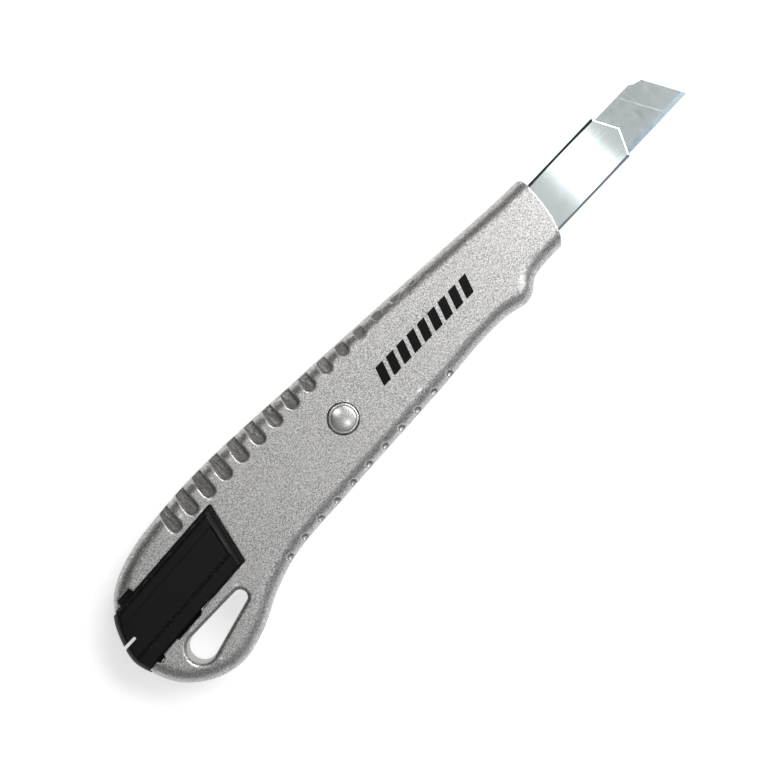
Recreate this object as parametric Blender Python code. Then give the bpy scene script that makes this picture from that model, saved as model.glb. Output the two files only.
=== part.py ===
"""Snap-off craft knife with a 9 mm blade, built as separate pieces at their real sizes.

The knife lies on its front, the side of the thumb slider, so its flat back looks up. +X runs
along the blade to its tip, +Y points at the spine of the handle, which has the long row of grip
notches, and +Z points out of the back. Sizes are in millimetres, and every mesh is scaled by MM.
In the plan the sheath's rivet is at (0, 0). The empty "knife" then carries everything to its
place, with the middle of the bounding box over the origin and the lowest face at zero.
"""

import math

import bmesh
import bpy
from mathutils import Matrix, Vector
from mathutils.geometry import interpolate_bezier

MM = 0.001

# Driving dimensions: blade
BLADE_WIDTH = 9.0
BLADE_THICKNESS = 0.4
BLADE_EDGE = 0.06  # thickness left at the cutting edge
BLADE_SHIFT = 0.15  # the blade runs this far off the sheath's middle, towards its edge
BEVEL_WIDTH = 1.0  # ground strip along the cutting edge
SEGMENTS = 13
SEGMENT_PITCH = 5.0
BLADE_TAIL = 15.0
SNAP_ANGLE = math.radians(63)
SCORE_DEPTH = 0.12
SCORE_WIDTH = 0.3
PEG_HOLE_RADIUS = 1.4
PEG_HOLE_INSET = 3.6  # from the end of the tail to the middle of the hole
TIP_CORNER = (2.4, 1.1)  # the cut corner of the tip's back, along and across the blade
BLADE_SHOWN = 13.5  # the tip stands this far ahead of the sheath as the knife lies

# Driving dimensions: sheath
SHEET = 0.5
SHEATH_SHOWN = 19.8  # the sheath stands this far ahead of the handle
SHEATH_POINT = 2.6  # how far the middle of the mouth stands ahead of its sides
SHEATH_FOLD = 0.9  # outer radius of the folds
SLOT_WIDTH = 4.2
TOOTH_PITCH = 2.5
TOOTH_WIDTH = 1.4
TOOTH_DEPTH = 0.8
TEETH_REAR = 37.0  # plain lip behind the first tooth, from the handle's rear end
TEETH_FRONT = 22.0  # plain lip ahead of the last tooth

# Driving dimensions: handle
HANDLE_REAR = 60.0
HANDLE_FRONT = 55.2
SLIDER_PROUD = 2.0  # the thumb slider and the cap's pull pad stand this far out of the rim
LIP_DEPTH = 2.8  # from the rim down to the sheath
BACK_WALL = 2.1
EDGE_ROUND = 1.6
RIM_ROUND = 0.9
HOLE_WIDE = 2.95
HOLE_NARROW = 1.5
HOLE_LENGTH = 11.75  # between the middles of the lanyard hole's two rounds

# Driving dimensions: grip notches
NOTCH_WIDTH = 2.5
NOTCH_PITCH = 4.53
NOTCH_DEPTH = 0.7
NOTCH_SIDE_DEPTH = 0.35
NOTCH_LEAN = math.radians(7)

# Driving dimensions: slider
CARRIER_THICKNESS = 0.7
PEG_RADIUS = 1.25
LOCK_TRAVEL = 0.8
KNOB_LENGTH = 20.0
KNOB_GAP = 0.85  # between the slider's side and the channel's wall
SPRING_SHEET = 0.25
RIDGE_PITCH = 2.0
RIDGE_DEPTH = 0.6

# Driving dimensions: end cap
CAP_TURN = math.radians(2.5)  # the cap slides off at this angle to the sheath
TONGUE_LENGTH = 31.4
TONGUE_SLANT = 3.6  # how much shorter the tongue's lower side is
TONGUE_PROUD = 0.5
PANEL_STEP = 0.3
SNAP_SLIT_WIDTH = 0.6
SNAP_SLIT_DEPTH = 3.2
CAP_BLOCK = 7.5  # length of the block behind the sheath
EAR_END = 9.8  # front ends of the two latch arms, from the handle's rear end
STEP_END = 15.5
PAD_LENGTH = 12.0
PAD_GAP = 1.05  # between the pull pad's side and the channel's wall

# Driving dimensions: rivets
RIVET_HEAD = 2.75
RIVET_SHANK = 1.5
RIVET_LAND = 0.4  # flat rim round the rivet's dome
RIVET_CLINCH = 0.45  # how far the flared tail is wider than the shank
COUNTERBORE_GAP = 0.35
COUNTERBORE_DEPTH = 0.9
SPRING_RIVET_HEAD = 1.1
SPRING_RIVET_SHANK = 0.5

# Clearances
FIT = 0.1  # between pieces that slide on or rest against each other
SIDE_FIT = 0.15  # beside the sheath, the blade and the cap
END_FIT = 0.5  # between the cap's block and the sheath's rear end
SLOT_FIT = 0.3  # between the sheath's lips and what runs in the slot

# Levels above the table
RIM_Z = SLIDER_PROUD
LIP_Z = RIM_Z + LIP_DEPTH
LIP_TOP_Z = LIP_Z + SHEET
CARRIER_Z = LIP_TOP_Z + FIT
BLADE_Z = CARRIER_Z + CARRIER_THICKNESS + FIT
PLATE_Z = BLADE_Z + BLADE_THICKNESS + FIT
SHEATH_TOP_Z = PLATE_Z + SHEET
ROOF_Z = SHEATH_TOP_Z + FIT
BACK_Z = ROOF_Z + BACK_WALL
TONGUE_Z = BACK_Z + TONGUE_PROUD
ABOVE = TONGUE_Z + 5
BELOW = -5

# Plan sizes that follow from the ones above
SHEATH_INNER_HALF = BLADE_WIDTH / 2 + BLADE_SHIFT + SIDE_FIT
SHEATH_HALF = SHEATH_INNER_HALF + SHEET
CHANNEL_HALF = SHEATH_HALF + SIDE_FIT
NECK_HALF = SLOT_WIDTH / 2 - SLOT_FIT
SHEATH_REAR = HANDLE_REAR - CAP_BLOCK - END_FIT
SHEATH_FRONT = HANDLE_FRONT + SHEATH_SHOWN
BLADE_OUT = SHEATH_FRONT + BLADE_SHOWN
BLADE_LENGTH = SEGMENTS * SEGMENT_PITCH + BLADE_TAIL
PEG_X = BLADE_OUT - BLADE_LENGTH + PEG_HOLE_INSET
PAWL_X = PEG_X - 12.1
TONGUE_HIGH = CHANNEL_HALF + 0.13
TONGUE_LOW = -CHANNEL_HALF - 0.5
ARM_HIGH = TONGUE_HIGH + 1.4
ARM_LOW = TONGUE_LOW - 0.8

STEEL = ("bright_steel", (0.75, 0.77, 0.78), 0.18, 1.0)
BLADE_STEEL = ("blade_steel", (0.55, 0.58, 0.59), 0.3, 1.0)
CAST = ("cast_metal", (0.63, 0.63, 0.61), 0.45, 0.9)
BLACK = ("black_plastic", (0.02, 0.02, 0.02), 0.45, 0.0)
SPRING = ("spring_steel", (0.6, 0.6, 0.58), 0.3, 1.0)


def clear_scene():
    """Removes every object that the file opens with."""
    for thing in list(bpy.data.objects):
        bpy.data.objects.remove(thing)


def material(look):
    """The material of this name, colour, roughness and metallic value, made once."""
    name, colour, roughness, metallic = look
    made = bpy.data.materials.get(name)
    if made is None:
        made = bpy.data.materials.new(name)
        made.use_nodes = True
        shader = made.node_tree.nodes["Principled BSDF"]
        shader.inputs["Base Color"].default_value = (*colour, 1)
        shader.inputs["Roughness"].default_value = roughness
        shader.inputs["Metallic"].default_value = metallic
    return made


def place(name, shape, look=None):
    """An object from a bmesh, under the knife's empty. With no look it is a hidden cutter."""
    bmesh.ops.recalc_face_normals(shape, faces=shape.faces)
    mesh = bpy.data.meshes.new(name)
    shape.to_mesh(mesh)
    shape.free()
    thing = bpy.data.objects.new(name, mesh)
    bpy.context.scene.collection.objects.link(thing)
    thing.parent = bpy.data.objects["knife"]
    if look is None:
        thing.hide_render = True
        thing.display_type = "WIRE"
    else:
        mesh.materials.append(material(look))
        mesh.shade_smooth()
        mesh.set_sharp_from_angle(angle=math.radians(35))
    return thing


def raise_outline(shape, outline, low, high):
    """Adds a closed prism to a bmesh: the outline, in (x, y) points, from one level to another."""
    corners = [shape.verts.new(Vector((x, y, low)) * MM) for x, y in outline]
    base = shape.faces.new(corners)
    raised = bmesh.ops.extrude_face_region(shape, geom=[base])["geom"]
    top = [item for item in raised if isinstance(item, bmesh.types.BMVert)]
    bmesh.ops.translate(shape, verts=top, vec=(0, 0, (high - low) * MM))
    return top


def prism(name, outline, low, high, look=None):
    """An object with this outline between two levels."""
    shape = bmesh.new()
    raise_outline(shape, outline, low, high)
    return place(name, shape, look)


def turned(name, profile, middle, look=None, steps=32):
    """An object turned round an upright axis from a profile of (radius, level) points."""
    shape = bmesh.new()
    points = [shape.verts.new(Vector((radius, 0, level)) * MM) for radius, level in profile]
    edges = [shape.edges.new(pair) for pair in zip(points, points[1:])]
    bmesh.ops.spin(shape, geom=points + edges, cent=(0, 0, 0), axis=(0, 0, 1),
                   angle=2 * math.pi, steps=steps)
    bmesh.ops.remove_doubles(shape, verts=shape.verts, dist=0.001 * MM)
    bmesh.ops.translate(shape, verts=shape.verts, vec=Vector((*middle, 0)) * MM)
    return place(name, shape, look)


def boolean(target, other, operation="DIFFERENCE"):
    """Adds an exact Boolean modifier and returns the target."""
    modifier = target.modifiers.new(f"{operation.lower()} {other.name}", "BOOLEAN")
    modifier.operation = operation
    modifier.solver = "EXACT"
    modifier.object = other
    return target


def rectangle(left, right, low, high):
    """Corners of a rectangle, anticlockwise."""
    return [(left, low), (right, low), (right, high), (left, high)]


def arc(middle, radius, start, end, steps):
    """Points of an arc from one angle to another, in degrees."""
    angles = [math.radians(start + (end - start) * i / steps) for i in range(steps + 1)]
    return [(middle[0] + radius * math.cos(a), middle[1] + radius * math.sin(a)) for a in angles]


def rounded(left, right, low, high, radius, steps=3):
    """Outline of a rectangle with round corners."""
    corners = [(right - radius, high - radius, 0), (left + radius, high - radius, 90),
               (left + radius, low + radius, 180), (right - radius, low + radius, 270)]
    return [point for x, y, turn in corners for point in arc((x, y), radius, turn, turn + 90, steps)]


def teardrop(wide, wide_radius, narrow, narrow_radius, steps=8):
    """Outline round two circles and the straight sides that touch both."""
    across = Vector(narrow) - Vector(wide)
    heading = math.degrees(math.atan2(across.y, across.x))
    spread = math.degrees(math.acos((wide_radius - narrow_radius) / across.length))
    return (arc(wide, wide_radius, heading + spread, heading + 360 - spread, 2 * steps)
            + arc(narrow, narrow_radius, heading - spread, heading + spread, steps))


def smooth_loop(anchors, spacing=2.4):
    """Points of the closed Bezier curve that runs smoothly through the anchors."""
    knots = [Vector((x, y, 0)) for x, y in anchors]
    tangents = []
    for before, here, after in zip(knots[-1:] + knots, knots, knots[1:] + knots[:1]):
        tangents.append(((here - before).normalized() + (after - here).normalized()).normalized())
    points = []
    for i, here in enumerate(knots):
        after = knots[(i + 1) % len(knots)]
        reach = (after - here).length / 3
        leaving = here + tangents[i] * reach
        arriving = after - tangents[(i + 1) % len(knots)] * reach
        count = max(2, round(3 * reach / spacing))
        points += [p.xy[:] for p in interpolate_bezier(here, leaving, arriving, after, count + 1)[:-1]]
    return points


def inset_loop(points, amount):
    """The closed anticlockwise outline, moved inwards by this amount."""
    moved = []
    for before, here, after in zip(points[-1:] + points, points, points[1:] + points[:1]):
        along = Vector(after) - Vector(before)
        inward = Vector((-along.y, along.x)).normalized()
        moved.append((here[0] + inward.x * amount, here[1] + inward.y * amount))
    return moved


def from_rear(distance):
    """X at this distance ahead of the handle's rear end."""
    return distance - HANDLE_REAR


def from_front(distance):
    """X at this distance behind the handle's front end."""
    return HANDLE_FRONT - distance


def handle_outline():
    """The handle in plan, anticlockwise from the rear end: belly, guard, nose and spine."""
    half = CHANNEL_HALF
    belly = [(from_rear(0.0), -(half - 2.6)), (from_rear(0.6), -(half + 0.6)),
             (from_rear(2.8), -(half + 6.0)), (from_rear(7.5), -(half + 10.3)),
             (from_rear(14.0), -(half + 12.3)), (from_rear(20.5), -(half + 11.1)),
             (from_rear(28.0), -(half + 7.8)), (from_rear(35.0), -(half + 5.75)),
             (from_rear(50.0), -(half + 4.85)), (from_front(40.0), -(half + 4.05))]
    guard = [(from_front(21.5), -(half + 3.4)), (from_front(18.3), -(half + 3.95)),
             (from_front(15.8), -(half + 4.6)), (from_front(13.4), -(half + 3.9)),
             (from_front(11.6), -(half + 2.5)), (from_front(9.2), -(half + 1.95))]
    nose = [(from_front(4.6), -(half + 1.9)), (from_front(2.9), -(half + 1.1)),
            (from_front(2.0), -(half - 0.6)), (from_front(0.9), -(half - 3.6)),
            (from_front(0.05), half - 2.4), (from_front(0.35), half + 0.1),
            (from_front(2.1), half + 1.5)]
    spine = [(from_front(6.0), half + 1.85), (from_front(30.0), half + 3.85),
             (from_front(55.0), half + 5.9), (from_rear(34.0), half + 7.65),
             (from_rear(24.0), half + 7.4), (from_rear(14.0), half + 6.2),
             (from_rear(7.3), half + 3.65), (from_rear(3.1), half - 0.3),
             (from_rear(0.95), half - 4.6)]
    return smooth_loop(belly + guard + nose + spine)


def cast_blank(name, outline, low, top, rim_round, look=None):
    """The handle as a full block: its outline with rounded back and rim edges."""
    shape = bmesh.new()
    crown = raise_outline(shape, outline, low, top)
    upper = [e for e in shape.edges if all(v in crown for v in e.verts)]
    lower = [e for e in shape.edges if not any(v in crown for v in e.verts)]
    bmesh.ops.bevel(shape, geom=upper, offset=EDGE_ROUND * MM, segments=4, profile=0.5,
                    affect="EDGES")
    bmesh.ops.bevel(shape, geom=[e for e in lower if e.is_valid], offset=rim_round * MM,
                    segments=2, profile=0.5, affect="EDGES")
    return place(name, shape, look)


def on_cap(along, across):
    """Plan point at these distances along and across the end cap, from the rear of the handle."""
    turn = Matrix.Rotation(CAP_TURN, 2)
    point = turn @ Vector((along, across))
    return (point.x - HANDLE_REAR, point.y)


def cap_prism(name, outline, low, high, look=None):
    """A prism whose outline is given along and across the end cap."""
    return prism(name, [on_cap(*point) for point in outline], low, high, look)


def lean_slot(middle, outward, lean, round_middle_offset, reach):
    """Outline of one grip notch: a slot with a round end, running outwards from its middle."""
    radius = NOTCH_WIDTH / 2
    turn = Matrix.Rotation(lean, 2)
    flip = 1 if outward > 0 else -1
    end = arc((0, round_middle_offset), radius, 180, 360, 6)
    outline = end + [(radius, reach), (-radius, reach)]
    placed = []
    for x, y in outline:
        point = turn @ Vector((x, y))
        placed.append((middle[0] + point.x, middle[1] + flip * point.y))
    return placed if flip > 0 else placed[::-1]


def edge_y(outline, x, upper):
    """Y of the outline at this x, on its upper or lower side."""
    crossings = []
    for (x0, y0), (x1, y1) in zip(outline, outline[1:] + outline[:1]):
        if x0 != x1 and min(x0, x1) <= x <= max(x0, x1):
            crossings.append(y0 + (y1 - y0) * (x - x0) / (x1 - x0))
    return max(crossings) if upper else min(crossings)


def grip_notches(outline):
    """One cutter that holds every grip notch of the spine and of the belly."""
    shape = bmesh.new()
    radius = NOTCH_WIDTH / 2
    first, last = from_rear(23.9), from_front(23.3)
    count = int((last - first) / NOTCH_PITCH + 0.5) + 1
    for i in range(count):
        middle = (first + i * NOTCH_PITCH, CHANNEL_HALF + 2.2 + radius)
        slot = lean_slot(middle, 1, -NOTCH_LEAN, 0, 8)
        raise_outline(shape, slot, LIP_Z, ABOVE)
    first, last = from_rear(34.5), from_front(36.0)
    count = int((last - first) / NOTCH_PITCH + 0.5) + 1
    for i in range(count):
        x = first + i * NOTCH_PITCH
        slot = lean_slot((x, edge_y(outline, x, False) + 0.8 - radius), -1, 0, 0, 8)
        raise_outline(shape, slot, LIP_Z, ABOVE)
    return place("grip notches", shape)


def build_handle():
    """The die-cast handle, with its channel, cap socket, grip notches and lanyard hole."""
    outline = handle_outline()
    handle = cast_blank("handle_body", outline, RIM_Z, BACK_Z, RIM_ROUND, CAST)
    core = cast_blank("handle core", inset_loop(outline, NOTCH_SIDE_DEPTH), LIP_Z - 1.5,
                      BACK_Z - NOTCH_DEPTH, 0.3)
    boolean(handle, grip_notches(outline))
    boolean(handle, core, "UNION")

    channel = rectangle(-HANDLE_REAR - 5, HANDLE_FRONT + 5, -CHANNEL_HALF, CHANNEL_HALF)
    boolean(handle, prism("channel", channel, BELOW, ROOF_Z))

    gap = SIDE_FIT
    ear_end, step_end = EAR_END + gap, STEP_END + gap
    socket = [(-5, ARM_LOW - gap), (step_end, ARM_LOW - gap), (step_end, 0), (ear_end, 0),
              (ear_end, ARM_HIGH + gap), (-5, ARM_HIGH + gap)]
    boolean(handle, cap_prism("cap socket", socket, BELOW, ROOF_Z + FIT))

    slot = [(-5, TONGUE_LOW - gap), (TONGUE_LENGTH - TONGUE_SLANT + gap, TONGUE_LOW - gap),
            (TONGUE_LENGTH + gap, TONGUE_HIGH + gap), (-5, TONGUE_HIGH + gap)]
    boolean(handle, cap_prism("tongue slot", slot, ROOF_Z - 1, ABOVE))

    windows = bmesh.new()
    ear = rounded(ear_end - 3.65, ear_end - 0.05, 0, ARM_HIGH + gap - 0.05, 0.4)
    step = rounded(step_end - 7.2, step_end - 0.05, ARM_LOW + 0.25, 0, 0.4)
    bump = arc((3.85, TONGUE_LOW), 0.95, 0, 360, 12)[:-1]
    for outline_on_cap in (ear, step, bump):
        raise_outline(windows, [on_cap(*p) for p in outline_on_cap], ROOF_Z - 0.5, ABOVE)
    boolean(handle, place("latch windows", windows))

    wide = (from_rear(10.8), -(CHANNEL_HALF + 4.9))
    narrow = (wide[0] + HOLE_LENGTH, wide[1] + HOLE_WIDE - HOLE_NARROW - 0.05)
    hole = teardrop(wide, HOLE_WIDE, narrow, HOLE_NARROW)
    boolean(handle, prism("lanyard hole", hole, BELOW, ABOVE))

    shank, head = RIVET_SHANK + FIT, RIVET_HEAD + COUNTERBORE_GAP
    seat = BACK_Z - COUNTERBORE_DEPTH
    bore = [(0, BELOW), (shank, BELOW), (shank, seat), (head, seat), (head, ABOVE), (0, ABOVE)]
    return boolean(handle, turned("rivet bore", bore, (0, 0)))


def sheath_section():
    """The folded sheet in cross-section, as (y, z) points round its C shape."""
    half, fold = SHEATH_HALF, SHEATH_FOLD
    inner = max(fold - SHEET, 0.2)
    lip = SLOT_WIDTH / 2
    left, right = (-half + fold), (half - fold)
    outside = (arc((right, LIP_Z + fold), fold, 270, 360, 3)
               + arc((right, SHEATH_TOP_Z - fold), fold, 0, 90, 3)
               + arc((left, SHEATH_TOP_Z - fold), fold, 90, 180, 3)
               + arc((left, LIP_Z + fold), fold, 180, 270, 3))
    inside = (arc((left, LIP_Z + fold), inner, 270, 180, 2)
              + arc((left, SHEATH_TOP_Z - fold), inner, 180, 90, 2)
              + arc((right, SHEATH_TOP_Z - fold), inner, 90, 0, 2)
              + arc((right, LIP_Z + fold), inner, 0, -90, 2))
    return ([(lip, LIP_Z)] + outside + [(-lip, LIP_Z), (-lip, LIP_TOP_Z)] + inside
            + [(lip, LIP_TOP_Z)])


def build_sheath():
    """The folded steel sheath, open along its front, with lock teeth in one lip."""
    shape = bmesh.new()
    ring = [shape.verts.new(Vector((-SHEATH_REAR, y, z)) * MM) for y, z in sheath_section()]
    base = shape.faces.new(ring)
    raised = bmesh.ops.extrude_face_region(shape, geom=[base])["geom"]
    moved = [item for item in raised if isinstance(item, bmesh.types.BMVert)]
    bmesh.ops.translate(shape, verts=moved, vec=((SHEATH_REAR + SHEATH_FRONT) * MM, 0, 0))
    sheath = place("blade_sheath", shape, STEEL)

    beyond = SHEATH_FRONT + 5
    mouth = bmesh.new()
    for side in (-1, 1):
        corner = (SHEATH_FRONT - SHEATH_POINT, side * SHEATH_HALF)
        slope = SHEATH_POINT / SHEATH_HALF
        outer = (corner[0] - slope, corner[1] + side)
        wedge = [(SHEATH_FRONT, side * 0.001), (beyond, side * 0.001), (beyond, outer[1]), outer]
        raise_outline(mouth, wedge, BELOW, ABOVE)
    boolean(sheath, place("mouth cut", mouth))

    teeth = bmesh.new()
    back = int((PAWL_X - from_rear(TEETH_REAR)) / TOOTH_PITCH)
    ahead = int((SHEATH_FRONT - TEETH_FRONT - PAWL_X) / TOOTH_PITCH)
    inner = SLOT_WIDTH / 2
    for i in range(-back, ahead + 1):
        x = PAWL_X + i * TOOTH_PITCH
        notch = rectangle(x - TOOTH_WIDTH / 2, x + TOOTH_WIDTH / 2, inner - 1, inner + TOOTH_DEPTH)
        raise_outline(teeth, notch, BELOW, LIP_TOP_Z + 0.05)
    boolean(sheath, place("lock teeth", teeth))

    shank = RIVET_SHANK + FIT
    flare = shank + RIVET_CLINCH
    sink = [(0, PLATE_Z - 0.3), (flare, PLATE_Z - 0.3), (flare, PLATE_Z), (shank, SHEATH_TOP_Z),
            (shank, ABOVE), (0, ABOVE)]
    return boolean(sheath, turned("rivet sink", sink, (0, 0)))


def build_sheath_rivet():
    """The domed rivet that holds the sheath to the handle, clinched flush inside the sheath."""
    seat = BACK_Z - COUNTERBORE_DEPTH + FIT
    rise, radius = 0.45, RIVET_HEAD - RIVET_LAND
    dome = [(radius * math.cos(a), seat + rise + rise * math.sin(a))
            for a in [math.radians(18 * i) for i in range(5)]]
    profile = ([(0, PLATE_Z + 0.02), (RIVET_SHANK + RIVET_CLINCH, PLATE_Z + 0.02),
                (RIVET_SHANK, SHEATH_TOP_Z), (RIVET_SHANK, seat), (RIVET_HEAD, seat),
                (RIVET_HEAD, seat + 0.3), (RIVET_HEAD - 0.15, seat + 0.4)]
               + dome + [(0, seat + 2 * rise)])
    return turned("sheath_rivet", profile, (0, 0), STEEL)


def build_blade():
    """The scored snap-off blade, ground along one edge, with a hole in its tail for the peg."""
    half, mid = BLADE_WIDTH / 2, BLADE_Z + BLADE_THICKNESS / 2
    thick, thin = BLADE_THICKNESS / 2, BLADE_EDGE / 2
    lean = 1 / math.tan(SNAP_ANGLE)
    along, across = TIP_CORNER
    stations = [(half, thick, along + lean * (BLADE_WIDTH - across)),
                (half - across, thick, lean * (BLADE_WIDTH - across)),
                (-half + BEVEL_WIDTH, thick, lean * BEVEL_WIDTH),
                (-half, thin, 0)]
    order = [(station, 1) for station in stations] + [(station, -1) for station in stations[::-1]]
    shape = bmesh.new()
    tip, tail = [], []
    for (y, rise, setback), side in order:
        level, across = mid + side * rise, y - BLADE_SHIFT
        rear = BLADE_OUT - BLADE_LENGTH - lean * y
        tip.append(shape.verts.new(Vector((BLADE_OUT - setback, across, level)) * MM))
        tail.append(shape.verts.new(Vector((rear, across, level)) * MM))
    shape.faces.new(tip)
    shape.faces.new(tail)
    for i in range(len(tip)):
        j = (i + 1) % len(tip)
        shape.faces.new((tip[i], tip[j], tail[j], tail[i]))
    blade = place("snap_blade", shape, BLADE_STEEL)

    scores = bmesh.new()
    reach = half + 1
    for i in range(1, SEGMENTS):
        middle = BLADE_OUT - i * SEGMENT_PITCH - lean * half
        rows = []
        for y in (-reach, reach):
            x = middle - lean * (y + BLADE_SHIFT)
            groove = [(x - SCORE_WIDTH, mid + thick + SCORE_DEPTH), (x, mid + thick - SCORE_DEPTH),
                      (x + SCORE_WIDTH, mid + thick + SCORE_DEPTH)]
            rows.append([scores.verts.new(Vector((gx, y, gz)) * MM) for gx, gz in groove])
        scores.faces.new(rows[0])
        scores.faces.new(rows[1])
        for a in range(3):
            b = (a + 1) % 3
            scores.faces.new((rows[0][a], rows[0][b], rows[1][b], rows[1][a]))
    boolean(blade, place("score lines", scores))

    hole = arc((PEG_X, 0), PEG_HOLE_RADIUS, 0, 360, 16)[:-1]
    return boolean(blade, prism("peg hole", hole, BELOW, ABOVE))


def build_carrier():
    """The steel carrier that runs inside the sheath: plate, peg, and a neck through the slot."""
    half = SHEATH_INNER_HALF - 2 * SIDE_FIT
    plate = rounded(PEG_X - 9, PEG_X + 3, -half, half, 1.0)
    carrier = prism("blade_carrier", plate, CARRIER_Z, CARRIER_Z + CARRIER_THICKNESS, STEEL)
    peg = prism("peg", arc((PEG_X, 0), PEG_RADIUS, 0, 360, 14)[:-1], CARRIER_Z + 0.2,
                BLADE_Z + BLADE_THICKNESS - 0.05)
    neck = prism("neck", rectangle(PEG_X - 5, PEG_X, -NECK_HALF, NECK_HALF),
                 LIP_Z - 2.1, CARRIER_Z + 0.2)
    shelf = prism("shelf", rectangle(PEG_X - 9, PEG_X - 4.9, -NECK_HALF, NECK_HALF),
                  LIP_Z - FIT / 2, CARRIER_Z + 0.2)
    for added in (peg, neck, shelf):
        boolean(carrier, added, "UNION")
    hole = arc((PEG_X - 7, 0), SPRING_RIVET_SHANK + 0.08, 0, 360, 12)[:-1]
    return boolean(carrier, prism("spring rivet hole", hole, BELOW, CARRIER_Z + 0.4))


def build_lock_spring():
    """The leaf spring under the carrier's shelf, with a pawl that stands in one lock tooth."""
    top = LIP_Z - FIT / 2 - FIT
    low = top - SPRING_SHEET
    leaf = prism("lock_spring", rectangle(PEG_X - 14.5, PEG_X - 5.4, -NECK_HALF, NECK_HALF),
                 low, top, SPRING)
    tab = TOOTH_WIDTH / 2 - 0.25
    riser = rectangle(PAWL_X - tab, PAWL_X + tab, NECK_HALF - 1.2, NECK_HALF)
    pawl = rectangle(PAWL_X - tab, PAWL_X + tab, NECK_HALF - 0.6,
                     SLOT_WIDTH / 2 + TOOTH_DEPTH - 0.2)
    boolean(leaf, prism("pawl riser", riser, low + 0.05, LIP_TOP_Z - FIT), "UNION")
    boolean(leaf, prism("pawl", pawl, LIP_Z + FIT, LIP_TOP_Z - FIT), "UNION")
    hole = arc((PEG_X - 7, 0), SPRING_RIVET_SHANK + 0.08, 0, 360, 12)[:-1]
    return boolean(leaf, prism("leaf hole", hole, BELOW, LIP_Z))


def build_spring_rivet():
    """The small rivet that fixes the leaf spring to the carrier's shelf."""
    low = LIP_Z - FIT / 2 - 2 * FIT - SPRING_SHEET
    profile = [(0, CARRIER_Z + 0.3), (SPRING_RIVET_SHANK, CARRIER_Z + 0.3),
               (SPRING_RIVET_SHANK, low), (SPRING_RIVET_HEAD, low), (SPRING_RIVET_HEAD - 0.2, low - 0.25),
               (0, low - 0.3)]
    return turned("spring_rivet", profile, (PEG_X - 7, 0), STEEL, steps=16)


def ribbed_profile(left, right, low, high, margin):
    """Side view, in (x, z) points, of a block whose lower face has grip ridges across it."""
    points = [(right, high), (left, high), (left, low + 1.2), (left + 1.2, low)]
    count = int((right - left - 2 * margin) / RIDGE_PITCH)
    start = (left + right - count * RIDGE_PITCH) / 2
    for i in range(count):
        x = start + i * RIDGE_PITCH
        points += [(x + 0.5, low), (x + 0.8, low + RIDGE_DEPTH), (x + 1.2, low + RIDGE_DEPTH),
                   (x + 1.5, low)]
    return points + [(right - 1.2, low), (right, low + 1.2)]


def side_block(shape, profile, low, high):
    """Adds a prism to a bmesh: a side view in (x, z) points, drawn out across the knife."""
    ring = [shape.verts.new(Vector((x, low, z)) * MM) for x, z in profile]
    base = shape.faces.new(ring)
    raised = bmesh.ops.extrude_face_region(shape, geom=[base])["geom"]
    moved = [item for item in raised if isinstance(item, bmesh.types.BMVert)]
    bmesh.ops.translate(shape, verts=moved, vec=(0, (high - low) * MM, 0))


def build_thumb_slider():
    """The ribbed thumb slider, which presses in by the lock travel to free the pawl."""
    left, right = PEG_X - 15, PEG_X - 15 + KNOB_LENGTH
    underside, half = LIP_Z - LOCK_TRAVEL - FIT, CHANNEL_HALF - KNOB_GAP
    shape = bmesh.new()
    side_block(shape, ribbed_profile(left, right, 0, underside, 2.5), -half, half)
    knob = place("thumb_slider", shape, BLACK)

    pocket = NECK_HALF + 0.2
    neck_pocket = rectangle(PEG_X - 5.2, PEG_X + 0.2, -pocket, pocket)
    boolean(knob, prism("neck pocket", neck_pocket, LIP_Z - 2.1 - LOCK_TRAVEL - 0.2, ABOVE))
    rivet_pocket = rectangle(PEG_X - 9.5, PEG_X - 5.1, -pocket, pocket)
    return boolean(knob, prism("rivet pocket", rivet_pocket, LIP_Z - LOCK_TRAVEL - 1.2, ABOVE))


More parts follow.
